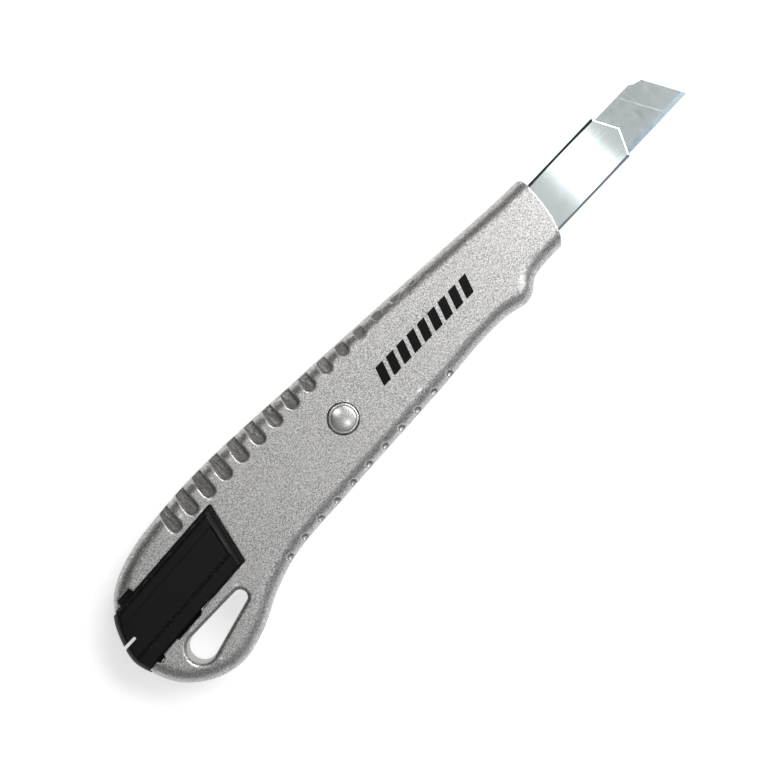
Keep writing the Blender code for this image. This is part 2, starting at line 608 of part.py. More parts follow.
def build_end_cap():
    """The end cap: a block behind the sheath, two latch arms, a back tongue and a pull pad."""
    arms = [(-3, ARM_LOW), (STEP_END, ARM_LOW), (STEP_END, ARM_LOW + 0.5),
            (CAP_BLOCK, ARM_LOW + 0.5), (CAP_BLOCK, ARM_HIGH - 1.6), (EAR_END, ARM_HIGH - 1.6),
            (EAR_END, ARM_HIGH), (-3, ARM_HIGH)]
    cap = cap_prism("end_cap", arms, RIM_Z + 0.3, ROOF_Z - FIT, BLACK)

    tongue = [(-2, TONGUE_LOW), (TONGUE_LENGTH - TONGUE_SLANT, TONGUE_LOW),
              (TONGUE_LENGTH, TONGUE_HIGH), (-2, TONGUE_HIGH)]
    boolean(cap, cap_prism("tongue", tongue, ROOF_Z, TONGUE_Z - PANEL_STEP), "UNION")
    root = rectangle(-2.5, CAP_BLOCK - 0.1, TONGUE_LOW + 0.2, TONGUE_HIGH - 0.2)
    boolean(cap, cap_prism("tongue root", root, ROOF_Z - 1, ROOF_Z + 1), "UNION")
    slope = TONGUE_SLANT / (TONGUE_HIGH - TONGUE_LOW)
    panel_low, panel_high = TONGUE_LOW + 2.6, TONGUE_HIGH - 0.6
    panel = [(-1.5, panel_low), (TONGUE_LENGTH - 1 - slope * (TONGUE_HIGH - panel_low), panel_low),
             (TONGUE_LENGTH - 1 - slope * (TONGUE_HIGH - panel_high), panel_high), (-1.5, panel_high)]
    boolean(cap, cap_prism("tongue panel", panel, BACK_Z - 0.5, TONGUE_Z), "UNION")

    outline = handle_outline()
    boolean(cap, prism("rear trim", outline, BELOW, ABOVE), "INTERSECT")

    shape = bmesh.new()
    half = CHANNEL_HALF - PAD_GAP
    ridges = ribbed_profile(from_rear(-1.5), from_rear(PAD_LENGTH), 0, LIP_Z - 2 * FIT, 1.2)
    side_block(shape, ridges, -half, half)
    pad = place("pull pad", shape)
    boolean(pad, prism("pad trim", inset_loop(outline, 0.7), BELOW, ABOVE), "INTERSECT")
    boolean(cap, pad, "UNION")

    slit = rectangle(from_rear(-5), from_rear(SNAP_SLIT_DEPTH + 0.6), -SNAP_SLIT_WIDTH / 2,
                     SNAP_SLIT_WIDTH / 2)
    return boolean(cap, prism("snap slit", slit, BELOW, ABOVE))


def centre_on_base(knife, pieces):
    """Moves the knife until the middle of its bounding box's base is at the origin."""
    bpy.context.view_layer.update()
    graph = bpy.context.evaluated_depsgraph_get()
    corners = []
    for piece in pieces:
        made = piece.evaluated_get(graph)
        corners += [made.matrix_world @ Vector(corner) for corner in made.bound_box]
    low = [min(corner[k] for corner in corners) for k in range(3)]
    high = [max(corner[k] for corner in corners) for k in range(3)]
    knife.location = (-(low[0] + high[0]) / 2, -(low[1] + high[1]) / 2, -low[2])


def main():
    """Builds every piece of the knife and sets it down on its base."""
    clear_scene()
    knife = bpy.data.objects.new("knife", None)
    bpy.context.scene.collection.objects.link(knife)
    pieces = [build_handle(), build_sheath(), build_sheath_rivet(), build_blade(),
              build_carrier(), build_lock_spring(), build_spring_rivet(), build_thumb_slider(),
              build_end_cap()]
    centre_on_base(knife, pieces)
    print("rivet axis and table level in the frame:", [round(v * 1000, 4) for v in knife.location])


main()
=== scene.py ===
"""Finer pieces and finishes for the craft knife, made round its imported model.

Sizes are in millimetres on the knife's own plan: the sheath's rivet stands at (0, 0), +X runs along
the blade, +Y to the spine of the handle and +Z out of its flat back. A knife lies on its thumb
slider, so the back looks up.
"""

import logging
import math
from dataclasses import dataclass, field
from enum import Enum
from typing import Callable

import bpy
from mathutils import Matrix, Vector
from mathutils.geometry import interpolate_bezier


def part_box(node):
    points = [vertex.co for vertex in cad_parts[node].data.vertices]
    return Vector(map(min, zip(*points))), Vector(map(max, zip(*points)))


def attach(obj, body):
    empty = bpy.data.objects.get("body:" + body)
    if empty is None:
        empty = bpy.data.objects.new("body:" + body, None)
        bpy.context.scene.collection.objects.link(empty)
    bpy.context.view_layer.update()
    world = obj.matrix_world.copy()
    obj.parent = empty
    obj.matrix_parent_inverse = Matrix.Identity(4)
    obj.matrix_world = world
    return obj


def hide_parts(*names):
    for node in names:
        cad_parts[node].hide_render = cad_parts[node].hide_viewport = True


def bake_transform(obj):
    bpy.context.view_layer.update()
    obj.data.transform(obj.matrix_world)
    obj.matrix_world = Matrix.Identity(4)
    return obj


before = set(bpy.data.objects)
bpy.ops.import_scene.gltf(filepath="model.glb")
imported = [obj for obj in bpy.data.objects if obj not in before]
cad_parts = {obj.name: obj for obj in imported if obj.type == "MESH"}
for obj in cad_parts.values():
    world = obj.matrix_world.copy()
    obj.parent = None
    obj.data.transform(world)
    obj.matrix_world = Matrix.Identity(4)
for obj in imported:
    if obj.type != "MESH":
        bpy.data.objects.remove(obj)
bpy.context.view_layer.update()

MM = 0.001
LOG = logging.getLogger("craft_knife")

Outline = list[tuple[float, float]]
Span = tuple[float, float]


class Body(Enum):
    """The moving bodies of the knife that a piece can ride on."""

    HANDLE = "handle"
    CARRIAGE = "carriage"
    SLIDER = "thumb_slider"
    CAP = "end_cap"


class Join(Enum):
    """How one solid is combined with another."""

    CUT = "DIFFERENCE"
    ADD = "UNION"
    KEEP_COMMON = "INTERSECT"


# ---------------------------------------------------------------------------- plan and places


def rivet_axis() -> Vector:
    """The point on the table under the sheath's rivet, in metres."""
    low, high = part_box("sheath_rivet")
    return Vector(((low.x + high.x) / 2, (low.y + high.y) / 2, 0))


ORIGIN = rivet_axis()


def place(x: float, y: float, z: float) -> Vector:
    """Turns a place on the knife's plan into a point in metres.

    Args:
        x: Distance ahead of the rivet.
        y: Distance towards the spine.
        z: Height above the table.

    Returns:
        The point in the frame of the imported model.
    """
    return ORIGIN + Vector((x, y, z)) * MM


def on_plan(point: Vector) -> Vector:
    """The place on the knife's plan, in millimetres, of a point in metres."""
    return (point - ORIGIN) / MM


def arc(middle: Span, radius: float, start: float, end: float, steps: int) -> Outline:
    """Points of an arc.

    Args:
        middle: Centre of the arc.
        radius: Its radius.
        start: First angle, in degrees.
        end: Last angle, in degrees.
        steps: Number of chords.

    Returns:
        The points from the first angle to the last, both included.
    """
    angles = [math.radians(start + (end - start) * i / steps) for i in range(steps + 1)]
    return [(middle[0] + radius * math.cos(a), middle[1] + radius * math.sin(a)) for a in angles]


def rectangle(left: float, right: float, low: float, high: float) -> Outline:
    """Corners of a rectangle, anticlockwise."""
    return [(left, low), (right, low), (right, high), (left, high)]


def rounded(left: float, right: float, low: float, high: float, radius: float) -> Outline:
    """Outline of a rectangle with round corners, anticlockwise.

    Args:
        left: Its rear side.
        right: Its front side.
        low: Its side towards the belly.
        high: Its side towards the spine.
        radius: Radius of the corners.

    Returns:
        The points of the outline.
    """
    corners = [(right - radius, high - radius, 0), (left + radius, high - radius, 90),
               (left + radius, low + radius, 180), (right - radius, low + radius, 270)]
    return [p for x, y, turn in corners for p in arc((x, y), radius, turn, turn + 90, 6)]


def teardrop(wide: Span, wide_radius: float, narrow: Span, narrow_radius: float) -> Outline:
    """Outline round two circles and the straight sides that touch both, anticlockwise.

    Args:
        wide: Middle of the larger circle.
        wide_radius: Its radius.
        narrow: Middle of the smaller circle.
        narrow_radius: Its radius.

    Returns:
        The points of the outline.
    """
    across = Vector(narrow) - Vector(wide)
    heading = math.degrees(math.atan2(across.y, across.x))
    spread = math.degrees(math.acos((wide_radius - narrow_radius) / across.length))
    return (arc(wide, wide_radius, heading + spread, heading + 360 - spread, 40)
            + arc(narrow, narrow_radius, heading - spread, heading + spread, 20))


def smooth_loop(anchors: Outline, spacing: float) -> Outline:
    """Points along the closed curve that runs smoothly through its anchors.

    Args:
        anchors: Points that the curve passes through.
        spacing: Rough distance between neighbouring points of the result.

    Returns:
        The points of the curve, in the order of the anchors.
    """
    knots = [Vector((x, y, 0)) for x, y in anchors]
    tangents = []
    for before, here, after in zip(knots[-1:] + knots, knots, knots[1:] + knots[:1]):
        tangents.append(((here - before).normalized() + (after - here).normalized()).normalized())
    points: Outline = []
    for i, here in enumerate(knots):
        after = knots[(i + 1) % len(knots)]
        reach = (after - here).length / 3
        leaving = here + tangents[i] * reach
        arriving = after - tangents[(i + 1) % len(knots)] * reach
        count = max(3, round(3 * reach / spacing))
        curve = interpolate_bezier(here, leaving, arriving, after, count + 1)
        points += [p.xy[:] for p in curve[:-1]]
    return points


def inset(points: Outline, amount: float) -> Outline:
    """The closed anticlockwise outline, moved inwards by this amount.

    Args:
        points: The outline.
        amount: How far it moves; a negative amount moves it outwards.

    Returns:
        The moved outline, point for point.
    """
    moved: Outline = []
    for before, here, after in zip(points[-1:] + points, points, points[1:] + points[:1]):
        along = Vector(after) - Vector(before)
        inward = Vector((-along.y, along.x)).normalized() * amount
        moved.append((here[0] + inward.x, here[1] + inward.y))
    return moved


def height_on(points: Outline, x: float, upper: bool) -> float:
    """Y of an outline at this x, on its upper or its lower side.

    Args:
        points: The outline.
        x: Where along the knife it is crossed.
        upper: Whether the crossing nearer the spine is wanted.

    Returns:
        Distance of that crossing towards the spine.
    """
    crossings = [y0 + (y1 - y0) * (x - x0) / (x1 - x0)
                 for (x0, y0), (x1, y1) in zip(points, points[1:] + points[:1])
                 if x0 != x1 and min(x0, x1) <= x <= max(x0, x1)]
    return max(crossings) if upper else min(crossings)


# ---------------------------------------------------------------------------- the workbench


class Bench:
    """The modelling steps that every piece is made with."""

    @staticmethod
    def take(piece: bpy.types.Object) -> None:
        """Selects this object alone and makes it the active one.

        Args:
            piece: The object to work on.
        """
        bpy.ops.object.select_all(action="DESELECT")
        piece.select_set(True)
        bpy.context.view_layer.objects.active = piece

    @staticmethod
    def open_edges(piece: bpy.types.Object, wanted: Callable[[Vector, Vector], bool]) -> None:
        """Opens a piece in edit mode with some of its edges selected.

        Args:
            piece: The object to edit.
            wanted: Says for an edge's two ends, on the knife's plan, whether it is selected.
        """
        Bench.take(piece)
        mesh = piece.data
        bpy.context.tool_settings.mesh_select_mode = (False, True, False)
        spots = [on_plan(v.co) for v in mesh.vertices]
        for item in (*mesh.vertices, *mesh.polygons):
            item.select = False
        for edge in mesh.edges:
            a, b = edge.vertices
            edge.select = wanted(spots[a], spots[b])
        bpy.ops.object.mode_set(mode="EDIT")

    @staticmethod
    def open_all(piece: bpy.types.Object) -> None:
        """Opens a piece in edit mode with all of it selected.

        Args:
            piece: The object to edit.
        """
        Bench.take(piece)
        bpy.context.tool_settings.mesh_select_mode = (True, False, False)
        bpy.ops.object.mode_set(mode="EDIT")
        bpy.ops.mesh.select_all(action="SELECT")

    @staticmethod
    def close() -> None:
        """Goes back to object mode."""
        bpy.ops.object.mode_set(mode="OBJECT")

    @staticmethod
    def face_out(piece: bpy.types.Object) -> None:
        """Merges doubled points and turns every face outwards.

        Args:
            piece: The closed solid.
        """
        Bench.open_all(piece)
        bpy.ops.mesh.remove_doubles(threshold=0.0005 * MM)
        bpy.ops.mesh.normals_make_consistent(inside=False)
        Bench.close()

    @staticmethod
    def ring(name: str, points: list[Vector]) -> bpy.types.Object:
        """A flat filled face with these corners, each a point in metres.

        Args:
            name: Name of the object.
            points: Its corners in order.

        Returns:
            The flat piece.
        """
        bpy.ops.mesh.primitive_circle_add(vertices=len(points), fill_type="NGON")
        piece = bpy.context.object
        piece.name = name
        for vertex, point in zip(piece.data.vertices, points):
            vertex.co = point
        return piece

    @staticmethod
    def extruded(name: str, points: list[Vector], along: Vector) -> bpy.types.Object:
        """A solid drawn from a flat outline.

        Args:
            name: Name of the object.
            points: Corners of the outline, in metres.
            along: How far and which way the outline is extruded, in metres.

        Returns:
            The closed solid.
        """
        piece = Bench.ring(name, points)
        Bench.open_all(piece)
        bpy.ops.mesh.extrude_region_move(TRANSFORM_OT_translate={"value": along})
        Bench.close()
        Bench.face_out(piece)
        return piece

    @staticmethod
    def prism(name: str, outline: Outline, low: float, high: float) -> bpy.types.Object:
        """A solid with this outline on the plan, between two heights."""
        points = [place(x, y, low) for x, y in outline]
        return Bench.extruded(name, points, Vector((0, 0, (high - low) * MM)))

    @staticmethod
    def drafted(name: str, outline: Outline, low: float, high: float,
                draft: float) -> bpy.types.Object:
        """A solid between two heights that narrows to its lower end.

        Args:
            name: Name of the object.
            outline: Its anticlockwise outline at the upper height.
            low: Lower height.
            high: Upper height.
            draft: How far the outline is inset at the lower height.

        Returns:
            The closed solid.
        """
        piece = Bench.prism(name, outline, low, high)
        foot = {place(x, y, low).freeze(): place(*p, low)
                for (x, y), p in zip(outline, inset(outline, draft))}
        for vertex in piece.data.vertices:
            nearest = min(foot, key=lambda spot: (spot - vertex.co).length)
            if (nearest - vertex.co).length < 0.002 * MM:
                vertex.co = foot[nearest]
        return piece

    @staticmethod
    def across(name: str, side: Outline, low: float, high: float) -> bpy.types.Object:
        """A solid drawn across the knife from a side view in (x, z) points."""
        points = [place(x, low, z) for x, z in side]
        return Bench.extruded(name, points, Vector((0, (high - low) * MM, 0)))

    @staticmethod
    def turned(name: str, profile: Outline, middle: Span, steps: int = 72) -> bpy.types.Object:
        """A solid turned round an upright axis.

        Args:
            name: Name of the object.
            profile: (radius, height) points, from the axis and back to it.
            middle: Place of the axis on the plan.
            steps: Number of facets round the axis.

        Returns:
            The closed solid.
        """
        points = [place(middle[0] + radius, middle[1], z) for radius, z in profile]
        piece = Bench.ring(name, points)
        Bench.open_edges(piece, lambda a, b: a.x < middle[0] + 1e-4 and b.x < middle[0] + 1e-4)
        bpy.ops.mesh.delete(type="EDGE_FACE")
        Bench.close()
        Bench.open_all(piece)
        bpy.ops.mesh.spin(steps=steps, angle=2 * math.pi, center=place(*middle, 0),
                          axis=(0, 0, 1))
        Bench.close()
        Bench.face_out(piece)
        return piece

    @staticmethod
    def modify(piece: bpy.types.Object, kind: str, **settings: object) -> None:
        """Adds a modifier with these settings and applies it.

        Args:
            piece: The object to change.
            kind: The kind of modifier.
            **settings: What the modifier is set to.
        """
        Bench.take(piece)
        bpy.ops.object.modifier_add(type=kind)
        modifier = piece.modifiers[-1]
        for setting, value in settings.items():
            setattr(modifier, setting, value)
        bpy.ops.object.modifier_apply(modifier=modifier.name)

    @staticmethod
    def combine(piece: bpy.types.Object, other: bpy.types.Object, how: Join) -> None:
        """Cuts, adds or intersects a piece with another, which is used up."""
        Bench.modify(piece, "BOOLEAN", operation=how.value, solver="EXACT", object=other)
        bpy.data.objects.remove(other)

    @staticmethod
    def merge(name: str, pieces: list[bpy.types.Object]) -> bpy.types.Object:
        """Joins loose pieces into one object.

        Args:
            name: Name of the result.
            pieces: The objects, which are used up.

        Returns:
            The joined object.
        """
        Bench.take(pieces[0])
        for other in pieces[1:]:
            other.select_set(True)
        bpy.ops.object.join()
        bpy.context.object.name = name
        return bpy.context.object

    @staticmethod
    def round_edges(piece: bpy.types.Object, wanted: Callable[[Vector, Vector], bool],
                    width: float, segments: int) -> None:
        """Rounds the wanted edges of a piece.

        Args:
            piece: The solid.
            wanted: Says for an edge's two ends whether it is rounded.
            width: Radius of the rounding.
            segments: Number of facets across it.
        """
        Bench.open_edges(piece, wanted)
        bpy.ops.mesh.bevel(offset=width * MM, segments=segments, profile=0.5, affect="EDGES",
                           clamp_overlap=False)
        Bench.close()

    @staticmethod
    def soften(piece: bpy.types.Object, grain: float, passes: int, keep: float) -> None:
        """Melts a solid's edges round, as casting and moulding do.

        Args:
            piece: The closed solid.
            grain: Size of the even mesh it is cast in.
            passes: How often that mesh is smoothed.
            keep: Share of the faces that are kept at the end.
        """
        Bench.modify(piece, "REMESH", mode="VOXEL", voxel_size=grain * MM, adaptivity=0.0)
        Bench.modify(piece, "SMOOTH", factor=0.5, iterations=passes)
        Bench.modify(piece, "DECIMATE", ratio=keep)

    @staticmethod
    def clean(piece: bpy.types.Object, reach: float = 0.003) -> None:
        """Merges points that all but meet and takes out faces that have no area.

        Args:
            piece: The closed solid.
            reach: Distance up to which two points count as one.
        """
        Bench.open_all(piece)
        bpy.ops.mesh.remove_doubles(threshold=reach * MM)
        bpy.ops.mesh.quads_convert_to_tris()
        bpy.ops.mesh.dissolve_degenerate(threshold=reach * MM / 10)
        Bench.close()

    @staticmethod
    def shade(piece: bpy.types.Object, angle: float, flats: bool = False) -> None:
        """Shades a piece smooth.

        Args:
            piece: The object to shade.
            angle: Largest angle between two faces that still blend, in degrees.
            flats: Whether large flat faces keep their own shading up to their edges.
        """
        Bench.take(piece)
        bpy.ops.object.shade_smooth_by_angle(angle=math.radians(angle))
        if flats:
            Bench.modify(piece, "WEIGHTED_NORMAL", keep_sharp=True, weight=80)

    @staticmethod
    def fit(piece: bpy.types.Object, body: Body, slot: str, *nodes: str) -> None:
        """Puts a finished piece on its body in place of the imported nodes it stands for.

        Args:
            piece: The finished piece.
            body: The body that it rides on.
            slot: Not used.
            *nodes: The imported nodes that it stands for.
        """
        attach(piece, body.value)
        if nodes:
            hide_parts(*nodes)
        LOG.info("%s: %d faces on %s", piece.name, len(piece.data.polygons), body.value)


# ---------------------------------------------------------------------------- finishes


class Nodes:
    """A small hand for wiring one material's nodes."""

    def __init__(self, name: str) -> None:
        """Starts a material with its shader and the Object coordinates.

        Args:
            name: Name of the material.
        """
        self.material = bpy.data.materials.new(name)
        self.material.use_nodes = True
        self.tree = self.material.node_tree
        self.shader = self.tree.nodes["Principled BSDF"]
        self.spot = self.add("ShaderNodeTexCoord").outputs["Object"]

    def add(self, kind: str, **settings: object) -> bpy.types.Node:
        """Adds a node and sets its properties.

        Args:
            kind: The kind of node.
            **settings: What its properties are set to.

        Returns:
            The node.
        """
        node = self.tree.nodes.new(kind)
        for setting, value in settings.items():
            setattr(node, setting, value)
        return node

    def link(self, source: bpy.types.NodeSocket, target: bpy.types.NodeSocket) -> None:
        """Joins an output to an input."""
        self.tree.links.new(source, target)

    def mapped(self, scale: tuple[float, float, float], turn: float = 0.0) -> bpy.types.NodeSocket:
        """Object coordinates turned about Z and scaled.

        Args:
            scale: Scale along each axis.
            turn: Angle about Z, in radians.

        Returns:
            The output that carries them.
        """
        node = self.add("ShaderNodeMapping")
        node.inputs["Rotation"].default_value = (0, 0, turn)
        node.inputs["Scale"].default_value = scale
        self.link(self.spot, node.inputs["Vector"])
        return node.outputs["Vector"]

    def noise(self, size: float, detail: float = 2.0, rough: float = 0.5,
              where: bpy.types.NodeSocket | None = None) -> bpy.types.NodeSocket:
        """Noise whose blots are about this many millimetres wide.

        Args:
            size: Width of a blot.
            detail: Number of finer layers.
            rough: Strength of the finer layers.
            where: Coordinates to use in place of the plain Object ones.

        Returns:
            The output that carries the noise, from 0 to 1.
        """
        node = self.add("ShaderNodeTexNoise")
        node.inputs["Scale"].default_value = 1 / (size * MM)
        node.inputs["Detail"].default_value = detail
        node.inputs["Roughness"].default_value = rough
        self.link(where or self.spot, node.inputs["Vector"])
        return node.outputs["Fac"]

    def spread(self, value: bpy.types.NodeSocket, start: Span, end: Span) -> bpy.types.NodeSocket:
        """Carries a value from one range to another, held at its ends.

        Args:
            value: The output to carry over.
            start: The range that it comes from.
            end: What the ends of that range become.

        Returns:
            The output that carries the result.
        """
        node = self.add("ShaderNodeMapRange")
        for socket, number in zip(("From Min", "From Max", "To Min", "To Max"), (*start, *end)):
            node.inputs[socket].default_value = number
        self.link(value, node.inputs["Value"])
        return node.outputs["Result"]

    def blend(self, amount: bpy.types.NodeSocket, first: object,
              second: object) -> bpy.types.NodeSocket:
        """Mixes two colours, each a colour or an output, by an amount.

        Args:
            amount: Share of the second colour.
            first: The first colour.
            second: The second colour.

        Returns:
            The output that carries the mixed colour.
        """
        node = self.add("ShaderNodeMix", data_type="RGBA")
        self.link(amount, node.inputs[0])
        for socket, colour in ((node.inputs[6], first), (node.inputs[7], second)):
            if isinstance(colour, bpy.types.NodeSocket):
                self.link(colour, socket)
            else:
                socket.default_value = (*colour, 1)
        return node.outputs[2]

    def bump(self, height: bpy.types.NodeSocket, depth: float,
             strength: float = 1.0) -> bpy.types.NodeSocket:
        """A bumped normal whose relief is this many millimetres deep.

        Args:
            height: The output that says how high the surface stands.
            depth: Depth of the relief.
            strength: How strongly the relief shows.

        Returns:
            The output that carries the normal.
        """
        node = self.add("ShaderNodeBump")
        node.inputs["Strength"].default_value = strength
        node.inputs["Distance"].default_value = depth * MM
        self.link(height, node.inputs["Height"])
        return node.outputs["Normal"]

    def finish(self, colour: object, roughness: object, metallic: float,
               normal: bpy.types.NodeSocket | None = None, **constants: float
               ) -> bpy.types.Material:
        """Wires the shader and hands over the material.

        Args:
            colour: Base colour, or the output that carries it.
            roughness: Roughness, or the output that carries it.
            metallic: How metallic it is.
            normal: The output of a bump, if there is one.
            **constants: Other sockets of the shader, with _ for a space.

        Returns:
            The finished material.
        """
        sockets = self.shader.inputs
        if isinstance(colour, bpy.types.NodeSocket):
            self.link(colour, sockets["Base Color"])
        else:
            sockets["Base Color"].default_value = (*colour, 1)
        if isinstance(roughness, bpy.types.NodeSocket):
            self.link(roughness, sockets["Roughness"])
        else:
            sockets["Roughness"].default_value = roughness
        sockets["Metallic"].default_value = metallic
        if normal is not None:
            self.link(normal, sockets["Normal"])
        for name, value in constants.items():
            sockets[name.replace("_", " ")].default_value = value
        return self.material


@dataclass(frozen=True)
class SandedSilver:
    """Sand-textured silver paint of the casting, with a painted highlight along its convex edges
    and painted shade in its creases.
    """

    name: str = "sanded_silver"
    dark: tuple[float, float, float] = (0.17, 0.167, 0.16)
    light: tuple[float, float, float] = (0.71, 0.702, 0.686)
    # rubbed: colour of the painted highlight on convex edges, partly standing for rubbing wear
    rubbed: tuple[float, float, float] = (0.92, 0.915, 0.90)
    # colour of the painted shade in concave creases
    painted_crease_shade: tuple[float, float, float] = (0.12, 0.115, 0.105)
    grain: float = 0.27
    relief: float = 0.05
    # strength of the painted highlight on convex edges and of the painted shade in creases
    painted_edges: float = 1.0

    def material(self) -> bpy.types.Material:
        """Makes the paint.

        Returns:
            The material.
        """
        make = Nodes(self.name)
        grain = make.noise(self.grain, 2.5, 0.62)
        speck = make.spread(grain, (0.34, 0.66), (0.0, 1.0))
        blotch = make.spread(make.noise(9.0, 3.0), (0.3, 0.7), (0.0, 0.22))
        colour = make.blend(speck, self.dark, self.light)
        colour = make.blend(blotch, colour, (0.50, 0.485, 0.46))
        # painted highlight: convex edges, found by Pointiness, are lightened towards the rubbed
        # colour
        edge = make.add("ShaderNodeNewGeometry").outputs["Pointiness"]
        colour = make.blend(make.spread(edge, (0.53, 0.62), (0.0, 0.7 * self.painted_edges)),
                            colour, self.rubbed)
        # painted shade: concave creases, found by Pointiness, are darkened
        colour = make.blend(make.spread(edge, (0.40, 0.485), (0.85 * self.painted_edges, 0.0)),
                            colour, self.painted_crease_shade)
        roughness = make.spread(make.noise(0.5, 2.0), (0.3, 0.7), (0.35, 0.46))
        fine = make.bump(make.noise(self.grain * 0.8, 2.0, 0.6), self.relief, 0.45)
        return make.finish(colour, roughness, 0.88, fine)


@dataclass(frozen=True)
class RolledSteel:
    """Bright rolled sheet with faint lines along it and a few rubbed marks."""

    name: str = "rolled_steel"
    tint: tuple[float, float, float] = (0.79, 0.86, 0.865)
    gloss: Span = (0.035, 0.07)
    line: float = 0.003

    def material(self) -> bpy.types.Material:
        """Makes the bright sheet.

        Returns:
            The material.
        """
        make = Nodes(self.name)
        along = make.noise(1.0, 3.0, 0.6, make.mapped((0.02, 9.0, 9.0)))
        rubbed = make.noise(3.0, 4.0, 0.6)
        shade = make.spread(rubbed, (0.35, 0.75), (0.0, 0.10))
        colour = make.blend(shade, self.tint, (0.6, 0.63, 0.64))
        roughness = make.spread(along, (0.3, 0.7), self.gloss)
        return make.finish(colour, roughness, 1.0, make.bump(along, self.line, 0.4))


@dataclass(frozen=True)
class GroundBlade:
    """Satin blade steel, ground across, with fine specks."""

    name: str = "blade_flat"
    tint: tuple[float, float, float] = (0.42, 0.46, 0.462)
    dull: tuple[float, float, float] = (0.37, 0.405, 0.41)
    gloss: Span = (0.13, 0.19)
    lines: tuple[float, float, float] = (9.0, 0.12, 1.0)
    turn: float = 0.0

    def material(self) -> bpy.types.Material:
        """Makes the ground steel.

        Returns:
            The material.
        """
        make = Nodes(self.name)
        ground = make.noise(0.8, 3.0, 0.6, make.mapped(self.lines, self.turn))
        cloud = make.noise(2.2, 3.0, 0.55)
        colour = make.blend(make.spread(cloud, (0.3, 0.7), (0.0, 1.0)), self.tint, self.dull)
        roughness = make.spread(ground, (0.3, 0.7), self.gloss)
        return make.finish(colour, roughness, 1.0, make.bump(ground, 0.004, 0.5))


@dataclass(frozen=True)
class MouldedBlack:
    """Black moulded plastic with a fine spark-eroded skin, light handling scuffs and a painted
    highlight along its convex edges.
    """

    name: str = "moulded_black"
    tint: tuple[float, float, float] = (0.0045, 0.0042, 0.0044)
    scuff: tuple[float, float, float] = (0.012, 0.0118, 0.012)
    # colour of the painted highlight on convex edges
    painted_edges: tuple[float, float, float] = (0.05, 0.052, 0.055)
    gloss: Span = (0.34, 0.5)

    def material(self) -> bpy.types.Material:
        """Makes the plastic.

        Returns:
            The material.
        """
        make = Nodes(self.name)
        skin = make.noise(0.18, 2.0, 0.6)
        scuffs = make.noise(1.0, 4.0, 0.65, make.mapped((0.25, 2.0, 1.0), math.radians(20)))
        colour = make.blend(make.spread(scuffs, (0.62, 0.82), (0.0, 0.6)), self.tint, self.scuff)
        # painted highlight: convex edges, found by Pointiness, are lightened
        edge = make.add("ShaderNodeNewGeometry").outputs["Pointiness"]
        colour = make.blend(make.spread(edge, (0.54, 0.62), (0.0, 0.7)), colour, self.painted_edges)
        roughness = make.spread(make.noise(2.5, 3.0), (0.3, 0.7), self.gloss)
        return make.finish(colour, roughness, 0.0, make.bump(skin, 0.01, 0.4),
                           Specular_IOR_Level=0.16)


@dataclass(frozen=True)
class PlatedSteel:
    """Plated steel of the rivets, the carrier and the spring, lightly pitted."""

    name: str = "plated_steel"
    tint: tuple[float, float, float] = (0.66, 0.655, 0.64)
    gloss: Span = (0.2, 0.36)
    pits: float = 0.02

    def material(self) -> bpy.types.Material:
        """Makes the plating.

        Returns:
            The material.
        """
        make = Nodes(self.name)
        pitted = make.noise(0.45, 3.0, 0.6)
        stain = make.spread(make.noise(1.1, 3.0), (0.35, 0.7), (0.0, 0.55))
        colour = make.blend(stain, self.tint, (0.44, 0.43, 0.42))
        roughness = make.spread(pitted, (0.3, 0.7), self.gloss)
        return make.finish(colour, roughness, 1.0, make.bump(pitted, self.pits, 0.4))


@dataclass(frozen=True)
class PrintInk:
    """Pad-printed black ink that lets a little of the sanded skin through."""

    tint: tuple[float, float, float] = (0.003, 0.003, 0.003)
    thin: tuple[float, float, float] = (0.03, 0.03, 0.03)

    def material(self) -> bpy.types.Material:
        """Makes the ink.

        Returns:
            The material.
        """
        make = Nodes("print_ink")
        skin = make.noise(0.27, 2.0, 0.6)
        bare = make.spread(skin, (0.6, 0.8), (0.0, 0.35))
        colour = make.blend(bare, self.tint, self.thin)
        return make.finish(colour, 0.5, 0.0, make.bump(skin, 0.03, 0.4),
                           Specular_IOR_Level=0.1)


@dataclass(frozen=True)
class StudioWhite:
    """White table top that stays bright under the knife."""

    tint: tuple[float, float, float] = (0.62, 0.62, 0.62)
    glow: float = 0.6

    def material(self) -> bpy.types.Material:
        """Makes the table top.

        Returns:
            The material.
        """
        make = Nodes("studio_white")
        faint = make.spread(make.noise(60.0, 2.0), (0.0, 1.0), (0.0, 0.02))
        colour = make.blend(faint, self.tint, (0.8, 0.8, 0.8))
        return make.finish(colour, 0.9, 0.0, Emission_Color=(1, 1, 1, 1),
                           Emission_Strength=self.glow)


# ---------------------------------------------------------------------------- levels


@dataclass(frozen=True)
class Levels:
    """Heights above the table that the pieces share."""

    rim: float = 2.0
    lip: float = 4.8
    lip_top: float = 5.3
    blade: float = 6.2
    plate: float = 6.7
    sheath_top: float = 7.2
    roof: float = 7.3
    back: float = 9.4
    tongue: float = 9.9
    above: float = 15.0
    below: float = -5.0


# ---------------------------------------------------------------------------- handle


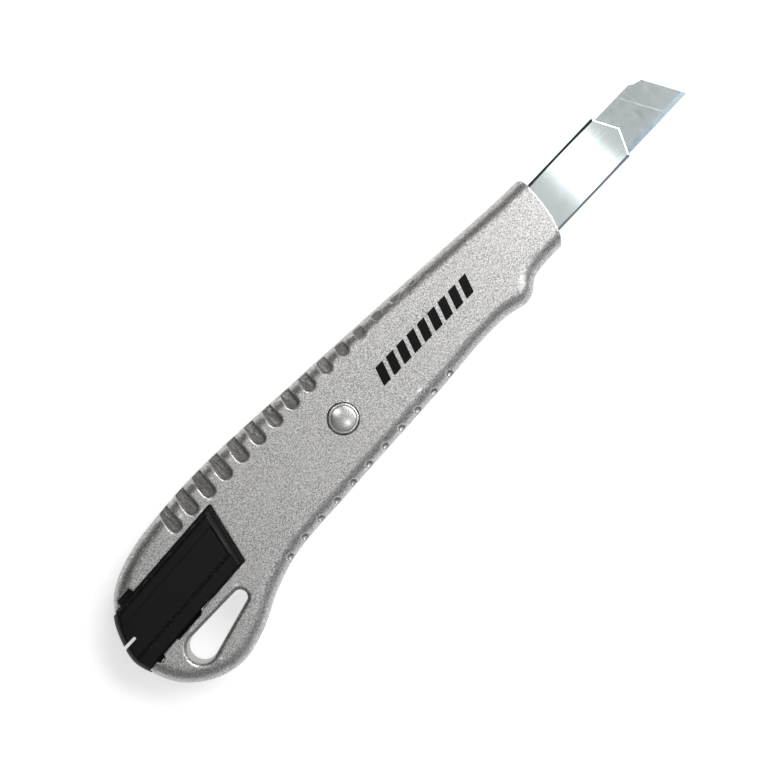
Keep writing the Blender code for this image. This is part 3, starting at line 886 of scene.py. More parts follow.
@dataclass
class HandleCasting:
    """The die-cast handle: outline, soft edges, grip notches, openings and sanded paint."""

    at: Levels = field(default_factory=Levels)
    half: float = 5.45
    rear: float = 60.0
    front: float = 55.2
    edge_round: float = 3.1
    rim_round: float = 1.2
    notch_width: float = 2.6
    notch_pitch: float = 4.53
    notch_depth: float = 0.95
    notch_draft: float = 0.34
    notch_fall: Span = (0.25, 0.36)
    notch_step: float = 0.06
    notch_lean: float = math.radians(7)
    scallop_reach: float = 1.55
    scallop_depth: float = 2.2
    hole_wide: float = 2.95
    hole_narrow: float = 1.5
    hole_length: float = 11.75
    hole_draft: float = 0.22
    hole_flare: float = 0.5
    counterbore: float = 3.2
    counterbore_depth: float = 1.1
    bore: float = 1.6
    channel: float = 5.35
    grain: float = 0.16

    def outline(self, spacing: float = 0.8) -> Outline:
        """The handle in plan with both long edges drawn on past the nose, anticlockwise.

        Args:
            spacing: Rough distance between its points.

        Returns:
            The points of the outline.
        """
        half, rear, front = self.half, -self.rear, self.front
        belly = [(rear, -(half - 2.6)), (rear + 0.6, -(half + 0.6)), (rear + 2.8, -(half + 6.0)),
                 (rear + 7.5, -(half + 10.3)), (rear + 14.0, -(half + 12.3)),
                 (rear + 20.5, -(half + 11.1)), (rear + 28.0, -(half + 7.8)),
                 (rear + 35.0, -(half + 5.75)), (rear + 50.0, -(half + 4.85)),
                 (front - 40.0, -(half + 4.05))]
        guard = [(front - 21.5, -(half + 3.4)), (front - 18.3, -(half + 3.95)),
                 (front - 15.8, -(half + 4.6)), (front - 13.4, -(half + 3.9)),
                 (front - 11.6, -(half + 2.5)), (front - 9.2, -(half + 1.95)),
                 (front - 4.0, -(half + 1.9)), (front + 3.0, -(half + 1.85))]
        ahead = [(front + 9.0, -(half - 1.0)), (front + 9.0, half - 1.0),
                 (front + 3.0, half + 1.2)]
        spine = [(front - 6.0, half + 1.85), (front - 30.0, half + 3.85),
                 (front - 55.0, half + 5.9), (rear + 34.0, half + 7.65),
                 (rear + 24.0, half + 7.4), (rear + 14.0, half + 6.2), (rear + 7.3, half + 3.65),
                 (rear + 3.1, half - 0.3), (rear + 0.95, half - 4.6)]
        return smooth_loop(belly + guard + ahead + spine, spacing)

    def nose(self) -> Outline:
        """Outline of the nose, which cuts both long edges off, anticlockwise.

        Returns:
            The points of the outline, which runs round the whole rear as well.
        """
        half, front = self.half, self.front
        tip = [(front - 4.6, -(half + 2.2)), (front - 3.2, -(half + 1.4)),
               (front - 2.0, -(half - 0.6)), (front - 0.9, -(half - 3.6)),
               (front - 0.1, half - 2.4), (front - 0.02, half - 0.4), (front - 0.1, half + 0.9),
               (front - 0.75, half + 1.6), (front - 3.0, half + 2.3)]
        behind = [(-self.rear - 9, half + 25), (-self.rear - 9, -(half + 25)),
                  (front - 12, -(half + 25))]
        knots = smooth_loop(tip, 0.5)
        last = min(range(len(knots)), key=lambda i: (Vector(knots[i]) - Vector(tip[-1])).length)
        return knots[:last + 1] + [(front - 12, half + 25)] + behind

    def blank(self, name: str, outline: Outline, low: float, top: float,
              rim_round: float) -> bpy.types.Object:
        """A full block with this outline and with rounded back and rim edges.

        Args:
            name: Name of the object.
            outline: Its outline.
            low: Level of its rim.
            top: Level of its back.
            rim_round: Radius of the rim edges.

        Returns:
            The closed block.
        """
        piece = Bench.prism(name, outline, low, top)
        edge = 1e-3
        Bench.round_edges(piece, lambda a, b: min(a.z, b.z) > top - edge, self.edge_round, 12)
        Bench.round_edges(piece, lambda a, b: max(a.z, b.z) < low + edge, rim_round, 5)
        return piece

    def spine_notches(self, margin: float = 0.0) -> bpy.types.Object:
        """The row of leaning notches along the spine, one drafted cutter repeated.

        Args:
            margin: How much narrower than the full notch the cutter is.

        Returns:
            The cutters as one object.
        """
        first, last = 23.9 - self.rear, self.front - 23.3
        count = int((last - first) / self.notch_pitch + 0.5) + 1
        radius, reach, top = self.notch_width / 2 - margin, 6.5, self.at.back + 0.05
        slot = arc((0, 0), radius, 180, 360, 14) + [(radius, reach), (-radius, reach)]
        cutter = Bench.drafted("spine notches", slot, top - self.notch_depth, top,
                               self.notch_draft - 1.4 * margin)
        for vertex in cutter.data.vertices:
            spot = on_plan(vertex.co)
            if spot.z < top - 0.1:
                spot.z -= self.notch_fall[0] * (min(spot.y, 0.0) + radius)
                spot.z -= self.notch_fall[1] * max(spot.y, 0.0)
            vertex.co = place(*spot)
        Bench.open_all(cutter)
        bpy.ops.transform.rotate(value=self.notch_lean, orient_axis="Z",
                                 center_override=place(0, 0, 0))
        middle = self.half + 2.2 + self.notch_width / 2
        bpy.ops.transform.translate(value=Vector((first, middle, 0)) * MM)
        Bench.close()
        Bench.modify(cutter, "ARRAY", count=count, use_relative_offset=False,
                     use_constant_offset=True,
                     constant_offset_displace=(self.notch_pitch * MM, 0, 0))
        return cutter

    def belly_notches(self, outline: Outline) -> bpy.types.Object:
        """The row of short scallops that follows the belly's edge.

        Args:
            outline: The handle's outline.

        Returns:
            The cutters as one object.
        """
        first, last = 34.5 - self.rear, self.front - 36.0
        count = int((last - first) / self.notch_pitch + 0.5) + 1
        radius, top = self.notch_width / 2 - 0.2, self.at.back + 0.05
        cutters = []
        for i in range(count):
            x = first + i * self.notch_pitch
            y = height_on(outline, x, False) + self.scallop_reach - radius
            slot = arc((x, y), radius, 0, 180, 14) + [(x - radius, y - 3), (x + radius, y - 3)]
            cutters.append(Bench.drafted("scallop", slot, top - self.scallop_depth, top, 0.5))
        return Bench.merge("belly notches", cutters)

    def lanyard_hole(self) -> list[bpy.types.Object]:
        """Cutters for the teardrop hole: a drafted one and the flare of its upper edge.

        Returns:
            The two cutters.
        """
        wide = (10.8 - self.rear, -(self.half + 4.9))
        narrow = (wide[0] + self.hole_length, wide[1] + self.hole_wide - self.hole_narrow - 0.05)
        outline = teardrop(wide, self.hole_wide, narrow, self.hole_narrow)
        flare, top = self.hole_flare, self.at.back + 0.02
        return [Bench.drafted("lanyard hole", outline, self.at.rim - 1, top + 1, self.hole_draft),
                Bench.drafted("hole flare", inset(outline, -flare), top - flare, top, flare)]

    def build(self, cap: "EndCap") -> bpy.types.Object:
        """Casts the handle.

        Args:
            cap: The end cap that its socket, slot and windows are cut for.

        Returns:
            The finished handle.
        """
        at, outline = self.at, self.outline()
        piece = self.blank("handle_casting", outline, at.rim, at.back, self.rim_round)
        Bench.combine(piece, Bench.prism("nose", self.nose(), at.below, at.above),
                      Join.KEEP_COMMON)
        Bench.combine(piece, self.spine_notches(), Join.CUT)
        Bench.combine(piece, self.belly_notches(outline), Join.CUT)
        channel = rectangle(-self.rear - 5, self.front + 5, -self.channel, self.channel)
        Bench.combine(piece, Bench.prism("channel", channel, at.below, at.roof), Join.CUT)
        for cutter in cap.room() + self.lanyard_hole():
            Bench.combine(piece, cutter, Join.CUT)
        Bench.soften(piece, self.grain, 4, 0.3)
        seat, head = at.back - self.counterbore_depth, self.counterbore
        profile = [(0, at.below), (self.bore, at.below), (self.bore, seat), (head - 0.05, seat),
                   (head - 0.05, at.above), (0, at.above)]
        Bench.combine(piece, Bench.turned("bore", profile, (0, 0), 96), Join.CUT)
        piece.data.materials.clear()
        # paints: sanded silver, bare metal darkened as painted shade for the counterbore, and a
        # darker copy of the silver as painted shade in the notches
        paints = [SandedSilver(), PlatedSteel("bare_bore_and_shade", (0.05, 0.048, 0.045)),
                  SandedSilver("notch_painted_shade", (0.10, 0.098, 0.093), (0.34, 0.333, 0.322), painted_edges=0.0)]
        for paint in paints:
            piece.data.materials.append(paint.material())
        # painted shade: the faces cut by these notch cores take a darker copy of the silver paint
        core = self.spine_notches(self.notch_step)
        for _ in paints:
            core.data.materials.append(None)
        for face in core.data.polygons:
            face.material_index = len(paints) - 1
        Bench.combine(piece, core, Join.CUT)
        Bench.shade(piece, 55, flats=True)
        # the counterbore's faces get near-black bare metal, darkened further as painted shade
        for face in piece.data.polygons:
            spot = on_plan(face.center)
            inside = spot.z < at.back - 0.02 and spot.xy.length < head - 0.04
            face.material_index = 1 if inside else face.material_index
        Bench.fit(piece, Body.HANDLE, "handle_body", "handle_body")
        return piece


@dataclass
class PrintedBars:
    """A plain row of slanted bars printed on the flat back, where the hand does not rub."""

    at: Levels = field(default_factory=Levels)
    start: float = 9.6
    low: float = -1.35
    high: float = 2.2
    slant: float = 1.35
    bar: float = 1.9
    pitch: float = 2.8
    count: int = 9
    thickness: float = 0.03

    def build(self) -> bpy.types.Object:
        """Prints the row from one bar.

        Returns:
            The finished row.
        """
        x, low, high = self.start, self.low, self.high
        outline = [(x, low), (x + self.bar, low), (x + self.bar + self.slant, high),
                   (x + self.slant, high)]
        piece = Bench.prism("printed_bars", outline, self.at.back - 0.05,
                            self.at.back + self.thickness)
        Bench.modify(piece, "ARRAY", count=self.count, use_relative_offset=False,
                     use_constant_offset=True, constant_offset_displace=(self.pitch * MM, 0, 0))
        Bench.modify(piece, "BEVEL", width=0.01 * MM, segments=2)
        piece.data.materials.append(PrintInk().material())
        Bench.fit(piece, Body.HANDLE, "end_cap")
        return piece


# ---------------------------------------------------------------------------- end cap


@dataclass
class EndCap:
    """The black cap: block, latch arms, stepped tongue in the back, pull pad and snap slit."""

    at: Levels = field(default_factory=Levels)
    turn: float = math.radians(2.5)
    rear: float = 60.0
    channel_half: float = 5.45
    fit: float = 0.1
    side_fit: float = 0.15
    length: float = 31.4
    slant: float = 3.6
    high: float = 5.58
    low: float = -5.95
    block: float = 7.5
    ear_end: float = 9.8
    step_end: float = 15.5
    border: float = 0.8
    end_border: float = 1.15
    groove: float = -3.25
    arms: Span = (1.4, 0.8)
    web_floor: float = 7.06
    ledge_floor: float = 6.75
    pad_length: float = 12.0
    pad_gap: float = 1.05
    slit: Span = (3.8, 0.6)
    grain: float = 0.1

    def on_cap(self, along: float, across: float) -> Span:
        """Plan point at these distances along and across the cap."""
        point = Matrix.Rotation(self.turn, 2) @ Vector((along, across))
        return (point.x - self.rear, point.y)

    def prism(self, name: str, outline: Outline, low: float, high: float) -> bpy.types.Object:
        """A solid whose outline is given along and across the cap."""
        return Bench.prism(name, [self.on_cap(*p) for p in outline], low, high)

    def tongue(self, start: float, margin: float, low: float, high: float) -> Outline:
        """Outline of the tongue, or of a strip of it.

        Args:
            start: Its rear end.
            margin: How far its slanted end stays behind the tongue's.
            low: Its lower side.
            high: Its upper side.

        Returns:
            The four corners.
        """
        slope = self.slant / (self.high - self.low)
        end = self.length - margin
        return [(start, low), (end - slope * (self.high - low), low),
                (end - slope * (self.high - high), high), (start, high)]

    def room(self) -> list[bpy.types.Object]:
        """Cutters for the cap's socket, its tongue's slot and the latch windows.

        Returns:
            The cutters.
        """
        at, gap = self.at, self.side_fit
        arm_high, arm_low = self.high + self.arms[0] + gap, self.low - self.arms[1] - gap
        ear, step = self.ear_end + gap, self.step_end + gap
        socket = [(-5, arm_low), (step, arm_low), (step, 0), (ear, 0), (ear, arm_high),
                  (-5, arm_high)]
        slot = self.tongue(-5, -gap, self.low - gap, self.high + gap)
        cutters = [self.prism("socket", socket, at.below, at.roof + self.fit),
                   self.prism("slot", slot, at.roof - 1, at.above)]
        windows = [rounded(ear - 3.65, ear - 0.05, 0, arm_high - 0.05, 0.55),
                   rounded(step - 7.2, step - 0.05, arm_low + gap + 0.25, 0, 0.75),
                   arc((3.85, self.low), 0.95, 0, 360, 32)[:-1]]
        return cutters + [self.prism("window", w, at.roof - 0.5, at.above) for w in windows]

    def pad(self, outline: Outline) -> bpy.types.Object:
        """The ribbed pad on the front that the cap is pulled off by.

        Args:
            outline: The handle's outline, which trims the pad's rear.

        Returns:
            The closed pad.
        """
        left, right, low = -self.rear - 1.5, -self.rear + self.pad_length, 0.0
        top = self.at.lip - 2 * self.fit
        half = self.channel_half - self.pad_gap
        side = ridged_side(left, right, low, top, 1.2)
        piece = Bench.across("pad", side, -half, half)
        trim = Bench.prism("pad trim", inset(outline, 0.7), self.at.below, self.at.above)
        Bench.combine(piece, trim, Join.KEEP_COMMON)
        return piece

    def build(self, handle: HandleCasting) -> bpy.types.Object:
        """Moulds the cap.

        Args:
            handle: The handle whose outline the cap's rear end follows.

        Returns:
            The finished cap.
        """
        at = self.at
        arm_high, arm_low = self.high + self.arms[0], self.low - self.arms[1]
        ledge = [(-3, arm_low + 0.01), (self.step_end - 0.01, arm_low + 0.01),
                 (self.step_end - 0.01, self.low - 0.02), (-3, self.low - 0.02)]
        arms = [(-3, arm_low), (self.step_end, arm_low), (self.step_end, arm_low + 0.5),
                (self.block, arm_low + 0.5), (self.block, arm_high - 1.6),
                (self.ear_end, arm_high - 1.6), (self.ear_end, arm_high), (-3, arm_high)]
        plan = handle.outline()
        piece = self.prism("cap_moulding", arms, at.rim + 0.3, at.roof - self.fit)
        Bench.combine(piece, Bench.prism("arm trim", inset(plan, 0.45), at.below, at.above),
                      Join.KEEP_COMMON)
        heart = rectangle(-2.7, self.block - 0.2, self.low + 0.1, self.high - 0.1)
        root = rectangle(-2.5, self.block - 0.1, self.low + 0.2, self.high - 0.2)
        skirt = self.tongue(-2, 0, self.low, self.high)
        end = self.end_border
        step = self.tongue(-1.5, end, self.low + 0.25, self.high - self.border)
        web = rectangle(self.block, self.step_end - 0.1, self.low - 0.5, self.low + 0.25)
        layers = [(web, self.web_floor, at.roof + 0.05),
                  (heart, at.rim + 0.31, at.roof - self.fit - 0.02),
                  (ledge, self.ledge_floor, at.roof - self.fit - 0.01),
                  (root, at.roof - 1, at.roof + 1), (skirt, at.roof, at.tongue - 0.38),
                  (step, at.back - 0.5, at.tongue - 0.2)]
        for outline, low, high in layers:
            Bench.combine(piece, self.prism("layer", outline, low, high), Join.ADD)
        panel = self.tongue(-1.3, end + 0.4, self.groove, self.high - self.border - 0.2)
        middle = self.tongue(-1.1, end + 0.75, self.groove + 0.45, 2.75)
        for outline, low, high, slope in ((panel, -0.21, -0.05, 0.36), (middle, -0.06, 0.0, 0.2)):
            plate = Bench.drafted("plate", [self.on_cap(*p) for p in outline], at.tongue + low,
                                  at.tongue + high, -slope)
            Bench.combine(piece, plate, Join.ADD)
        line = self.tongue(-5, end + 0.4, self.groove - 0.17, self.groove + 0.17)
        Bench.combine(piece, self.prism("line", line, at.tongue - 0.35, at.above), Join.CUT)
        rear = handle.blank("rear trim", plan, at.rim - 1, at.tongue + 0.4, 0.9)
        Bench.combine(piece, rear, Join.KEEP_COMMON)
        Bench.combine(piece, self.pad(plan), Join.ADD)
        rear, (depth, width) = -self.rear, self.slit
        low, high = 0.05 - width / 2, 0.05 + width / 2
        slit = [(rear + depth, low), (rear + depth, high), (rear - 5, high), (rear - 5, low - 1.6),
                (rear - 0.3, low - 1.6), (rear + 0.16, low - 0.75), (rear + 0.42, low - 0.25),
                (rear + 0.85, low)]
        slit.reverse()
        Bench.combine(piece, Bench.prism("slit", slit, at.below, at.above), Join.CUT)
        Bench.soften(piece, self.grain, 2, 0.3)
        Bench.shade(piece, 180)
        piece.data.materials.clear()
        # the cap's plastic carries a painted highlight on its convex edges
        piece.data.materials.append(MouldedBlack("cap_black").material())
        Bench.fit(piece, Body.CAP, "end_cap", "end_cap")
        return piece


def ridged_side(left: float, right: float, low: float, high: float, margin: float) -> Outline:
    """Side view of a block whose lower face has grip ridges across it.

    Args:
        left: Its rear end.
        right: Its front end.
        low: Level of the ridges' crests.
        high: Level of its top.
        margin: Plain length at each end.

    Returns:
        The outline as (x, z) points.
    """
    pitch, depth = 2.0, 0.6
    points = [(right, high), (left, high), (left, low + 1.2)]
    points += arc((left + 1.2, low + 1.2), 1.2, 180, 270, 6)[1:]
    count = int((right - left - 2 * margin) / pitch)
    start = (left + right - count * pitch) / 2
    for i in range(count):
        x = start + i * pitch
        points += [(x + 0.5, low), (x + 0.8, low + depth), (x + 1.2, low + depth), (x + 1.5, low)]
    return points + arc((right - 1.2, low + 1.2), 1.2, 270, 360, 6)


# ---------------------------------------------------------------------------- sheath and rivet


@dataclass
class FoldedSheath:
    """The folded steel sheath with its pointed mouth and the lock teeth in one lip."""

    at: Levels = field(default_factory=Levels)
    sheet: float = 0.5
    half: float = 5.3
    fold: float = 0.9
    slot: float = 4.2
    rear: float = 52.0
    front: float = 75.0
    point: float = 2.6
    tooth: tuple[float, float, float] = (2.5, 1.4, 0.8)
    teeth: tuple[float, float] = (-23.0, 53.0)
    chamfer: float = 0.26

    def section(self) -> Outline:
        """The folded sheet in cross-section, as (y, z) points.

        Returns:
            The points of the section.
        """
        at, fold, lip = self.at, self.fold, self.slot / 2
        inner, side = fold - self.sheet, self.half - fold
        low, high, n = at.lip + fold, at.sheath_top - fold, 8
        outside = (arc((side, low), fold, 270, 360, n) + arc((side, high), fold, 0, 90, n)
                   + arc((-side, high), fold, 90, 180, n) + arc((-side, low), fold, 180, 270, n))
        inside = (arc((-side, low), inner, 270, 180, 5) + arc((-side, high), inner, 180, 90, 5)
                  + arc((side, high), inner, 90, 0, 5) + arc((side, low), inner, 0, -90, 5))
        return ([(lip, at.lip)] + outside + [(-lip, at.lip), (-lip, at.lip_top)] + inside
                + [(lip, at.lip_top)])

    def mouth_x(self, y: float) -> float:
        """How far the pointed mouth reaches at this distance from the middle."""
        return self.front - self.point * abs(y) / self.half

    def build(self) -> bpy.types.Object:
        """Folds the sheath, cuts its mouth and teeth, and eases its edges.

        Returns:
            The finished sheath.
        """
        at = self.at
        points = [place(-self.rear, y, z) for y, z in self.section()]
        along = Vector(((self.rear + self.front) * MM, 0, 0))
        piece = Bench.extruded("steel_sheath", points, along)
        beyond = self.front + 5
        wedges = []
        for side in (-1, 1):
            edge = (self.mouth_x(self.half + 1), side * (self.half + 1))
            wedge = [(self.front, side * 0.0005), (beyond, side * 0.0005), (beyond, edge[1]), edge]
            wedges.append(Bench.prism("mouth", wedge, at.below, at.above))
        Bench.combine(piece, Bench.merge("mouth", wedges), Join.CUT)
        pitch, width, depth = self.tooth
        first = round(self.teeth[0] / pitch) * pitch
        count = int((self.teeth[1] - first) / pitch) + 1
        gap = rectangle(first - width / 2, first + width / 2, self.slot / 2 - 1,
                        self.slot / 2 + depth)
        teeth = Bench.prism("tooth", gap, at.below, at.lip_top + 0.05)
        Bench.modify(teeth, "ARRAY", count=count, use_relative_offset=False,
                     use_constant_offset=True, constant_offset_displace=(pitch * MM, 0, 0))
        Bench.combine(piece, teeth, Join.CUT)
        shank, flare = 1.6, 2.05
        sink = [(0, at.plate - 0.3), (flare, at.plate - 0.3), (flare, at.plate),
                (shank, at.sheath_top), (shank, at.above), (0, at.above)]
        Bench.combine(piece, Bench.turned("sink", sink, (0, 0)), Join.CUT)

        def on_mouth(spot: Vector) -> bool:
            """Whether a point lies on the outer edge of the mouth."""
            return spot.z > at.sheath_top - 0.02 and abs(spot.x - self.mouth_x(spot.y)) < 0.02

        Bench.round_edges(piece, lambda a, b: on_mouth(a) and on_mouth(b), self.chamfer, 2)
        Bench.modify(piece, "BEVEL", width=0.035 * MM, segments=2, limit_method="ANGLE",
                     angle_limit=math.radians(50))
        Bench.clean(piece)
        Bench.shade(piece, 40, flats=True)
        piece.data.materials.append(RolledSteel().material())
        Bench.fit(piece, Body.HANDLE, "blade_sheath", "blade_sheath")
        return piece


@dataclass
class DomedRivet:
    """The domed rivet that holds the sheath, set in its counterbore."""

    at: Levels = field(default_factory=Levels)
    head: float = 2.88
    shank: float = 1.5
    land: float = 0.42
    rise: float = 0.45
    dome: float = 10.5
    seat_gap: float = 0.1
    bore_depth: float = 0.9
    foot: float = 0.2

    def build(self) -> bpy.types.Object:
        """Turns the rivet.

        Returns:
            The finished rivet.
        """
        at = self.at
        seat = at.back - self.bore_depth + self.seat_gap
        radius = self.head - self.land
        crown = seat + 2 * self.rise
        steps = [radius - 0.16, radius - 0.22] + [radius * k / 10 for k in range(8, 0, -1)]
        dome = [(r, crown - self.dome + math.sqrt(self.dome ** 2 - r ** 2)) for r in steps]
        dome.insert(0, (radius - 0.1, dome[0][1] - 0.05))
        land = seat + self.rise + 0.06
        rim = [(self.head, seat - self.foot), (self.head, land - 0.12),
               (self.head - 0.03, land - 0.04), (self.head - 0.1, land), (radius + 0.08, land),
               (radius, land - 0.08), (radius - 0.08, land - 0.08)]
        profile = ([(0, at.plate + 0.02), (self.shank + 0.45, at.plate + 0.02),
                    (self.shank, at.sheath_top), (self.shank, seat - self.foot)] + rim + dome
                   + [(0, crown)])
        piece = Bench.turned("domed_rivet", profile, (0, 0), 96)
        Bench.shade(piece, 38)
        plating = PlatedSteel("rivet_plating", (0.56, 0.555, 0.54), (0.2, 0.3), 0.012)
        piece.data.materials.append(plating.material())
        Bench.fit(piece, Body.HANDLE, "sheath_rivet", "sheath_rivet")
        return piece


# ---------------------------------------------------------------------------- blade


@dataclass
class SnapBlade:
    """The scored blade: flat, ground edge, cut tip corner, score lines and peg hole."""

    at: Levels = field(default_factory=Levels)
    width: float = 9.0
    shift: float = 0.15
    thickness: float = 0.4
    bevel: float = 1.0
    tip: float = 88.5
    segments: int = 13
    pitch: float = 5.0
    tail: float = 15.0
    lean: float = 1 / math.tan(math.radians(63))
    corner: Span = (2.4, 1.1)
    score: tuple[float, float, float] = (0.2, 0.05, 0.0055)
    peg: tuple[float, float] = (12.1, 1.4)

    def outline(self) -> Outline:
        """The blade in plan, anticlockwise from its point.

        Returns:
            The points of the outline.
        """
        half, lean = self.width / 2, self.lean
        along, across = self.corner
        rear = self.tip - self.segments * self.pitch - self.tail
        shoulder = self.tip - lean * (self.width - across)
        back = [(self.tip, -half), (shoulder, half - across),
                (shoulder - 0.72 * along, half - 0.52 * across), (shoulder - along, half),
                (rear - lean * half, half), (rear + lean * half, -half)]
        return [(x, y - self.shift) for x, y in back]

    def scores(self) -> bpy.types.Object:
        """Cutters for the score lines: one shallow groove repeated along the blade.

        Returns:
            The cutters as one object.
        """
        behind, ahead, deep = self.score
        half, mid = self.width / 2, self.at.blade + self.thickness
        reach = half + 0.5
        x = self.tip - self.pitch - self.lean * half - self.lean * (-reach + self.shift)
        groove = [place(x - 2 * behind, -reach, mid + deep), place(x, -reach, mid - deep),
                  place(x + 2 * ahead, -reach, mid + deep)]
        along = Vector((-self.lean * 2 * reach * MM, 2 * reach * MM, 0))
        cutter = Bench.extruded("scores", groove, along)
        Bench.modify(cutter, "ARRAY", count=self.segments - 1, use_relative_offset=False,
                     use_constant_offset=True, constant_offset_displace=(-self.pitch * MM, 0, 0))
        return cutter

    def build(self) -> bpy.types.Object:
        """Grinds the blade from its flat outline.

        Returns:
            The finished blade.
        """
        at, half = self.at, self.width / 2
        piece = Bench.prism("blade_strip", self.outline(), at.blade, at.blade + self.thickness)
        line = -half - self.shift + self.bevel
        Bench.open_all(piece)
        bpy.ops.mesh.bisect(plane_co=place(0, line, 0), plane_no=(0, 1, 0))
        Bench.close()
        mid = at.blade + self.thickness / 2
        for upper in (True, False):
            Bench.open_edges(piece, lambda a, b: max(a.y, b.y) < line - 0.5
                             and (min(a.z, b.z) > mid if upper else max(a.z, b.z) < mid))
            drop = (self.thickness / 2 - 0.03) * MM
            bpy.ops.transform.translate(value=(0, 0, -drop if upper else drop))
            Bench.close()
        Bench.combine(piece, self.scores(), Join.CUT)
        hole = arc((self.peg[0], 0), self.peg[1], 0, 360, 48)[:-1]
        Bench.combine(piece, Bench.prism("peg hole", hole, at.below, at.above), Join.CUT)
        Bench.shade(piece, 1)
        flat = GroundBlade().material()
        honed = GroundBlade("blade_bevel", (0.29, 0.345, 0.375), (0.25, 0.305, 0.335), (0.2, 0.3),
                            (14.0, 0.1, 1.0)).material()
        piece.data.materials.clear()
        piece.data.materials.append(flat)
        piece.data.materials.append(honed)
        for face in piece.data.polygons:
            spot = on_plan(face.center)
            tilted = 0.9 < abs(face.normal.z) < 0.995
            face.material_index = int(tilted and spot.y < line + 0.05)
        Bench.fit(piece, Body.CARRIAGE, "snap_blade", "snap_blade")
        return piece


# ---------------------------------------------------------------------------- slider


@dataclass
class SliderGroup:
    """The thumb slider and, under it, the steel carrier, its leaf spring and its rivet."""

    at: Levels = field(default_factory=Levels)
    left: float = -2.9
    length: float = 20.0
    half: float = 4.6
    travel: float = 0.8
    fit: float = 0.1
    peg_x: float = 12.1
    neck_half: float = 1.8
    edge: float = 0.28
    nub: float = 1.4
    strip: float = 0.25
    pawl: tuple[float, float, float] = (0.0, 0.45, 2.7)

    def build_knob(self) -> bpy.types.Object:
        """Moulds the ribbed slider.

        Returns:
            The finished slider.
        """
        at = self.at
        top = at.lip - self.travel - self.fit
        side = ridged_side(self.left, self.left + self.length, 0.0, top, 2.5)
        piece = Bench.across("ribbed_slider", side, -self.half, self.half)
        pocket = self.neck_half + 0.2
        neck = rectangle(self.peg_x - 5.2, self.peg_x + 0.2, -pocket, pocket)
        floor = at.lip - 2.1 - self.travel - 0.2
        Bench.combine(piece, Bench.prism("neck pocket", neck, floor, at.above), Join.CUT)
        rivet = rectangle(self.left + self.nub, self.peg_x - 5.1, -pocket, pocket)
        floor = at.lip - self.travel - 1.2
        Bench.combine(piece, Bench.prism("rivet pocket", rivet, floor, at.above), Join.CUT)
        Bench.modify(piece, "BEVEL", width=self.edge * MM, segments=3, limit_method="ANGLE",
                     angle_limit=math.radians(50), use_clamp_overlap=True)
        Bench.clean(piece)
        Bench.shade(piece, 40, flats=True)
        # the slider's plastic carries a painted highlight on its convex edges
        piece.data.materials.append(MouldedBlack("slider_black", gloss=(0.42, 0.58)).material())
        Bench.fit(piece, Body.SLIDER, "thumb_slider", "thumb_slider")
        return piece

    def build_spring(self) -> bpy.types.Object:
        """Forms the leaf spring with its riser, pawl and hole, and slices it across into short
        lengths.

        Returns:
            The finished spring.
        """
        at, (middle, tab, reach) = self.at, self.pawl
        left, right, side = self.peg_x - 14.5, self.peg_x - 5.4, self.neck_half
        top, upper = at.lip - 0.15, at.lip_top - 0.1
        low = top - self.strip
        piece = Bench.prism("leaf_spring", rectangle(left, right, -side, side), low, top)
        riser = rectangle(middle - tab, middle + tab, side - 1.2, side)
        pawl = rectangle(middle - tab, middle + tab, side - 0.6, reach)
        Bench.combine(piece, Bench.prism("riser", riser, low + 0.05, upper), Join.ADD)
        Bench.combine(piece, Bench.prism("pawl", pawl, at.lip + 0.1, upper), Join.ADD)
        hole = arc((self.peg_x - 7, 0), 0.58, 0, 360, 24)[:-1]
        Bench.combine(piece, Bench.prism("leaf hole", hole, at.below, at.above), Join.CUT)
        Bench.open_all(piece)
        for step in range(1, 12):
            line = left + 0.5 * step
            bpy.ops.mesh.select_all(action="SELECT")
            bpy.ops.mesh.bisect(plane_co=place(line, 0, 0), plane_no=(1, 0, 0))
        Bench.close()
        Bench.clean(piece)
        Bench.shade(piece, 30)
        piece.data.materials.clear()
        finish = PlatedSteel("spring_plating", (0.60, 0.58, 0.54), (0.25, 0.4))
        piece.data.materials.append(finish.material())
        place(self.peg_x - 8.7, 0, top)
        place(left - 5.6, 0, top)
        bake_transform(piece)
        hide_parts("lock_spring")
        LOG.info("%s: %d faces, bent with the slider", piece.name, len(piece.data.polygons))
        return piece

    def dress_carriage(self) -> None:
        """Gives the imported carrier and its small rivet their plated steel."""
        finishes = {"blade_carrier": PlatedSteel("carrier_plating", (0.62, 0.63, 0.63)),
                    "spring_rivet": PlatedSteel("small_rivet_plating", (0.66, 0.65, 0.63))}
        for node, finish in finishes.items():
            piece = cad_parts[node]
            piece.data.materials.clear()
            piece.data.materials.append(finish.material())
            LOG.info("%s: plated", node)


# ---------------------------------------------------------------------------- studio


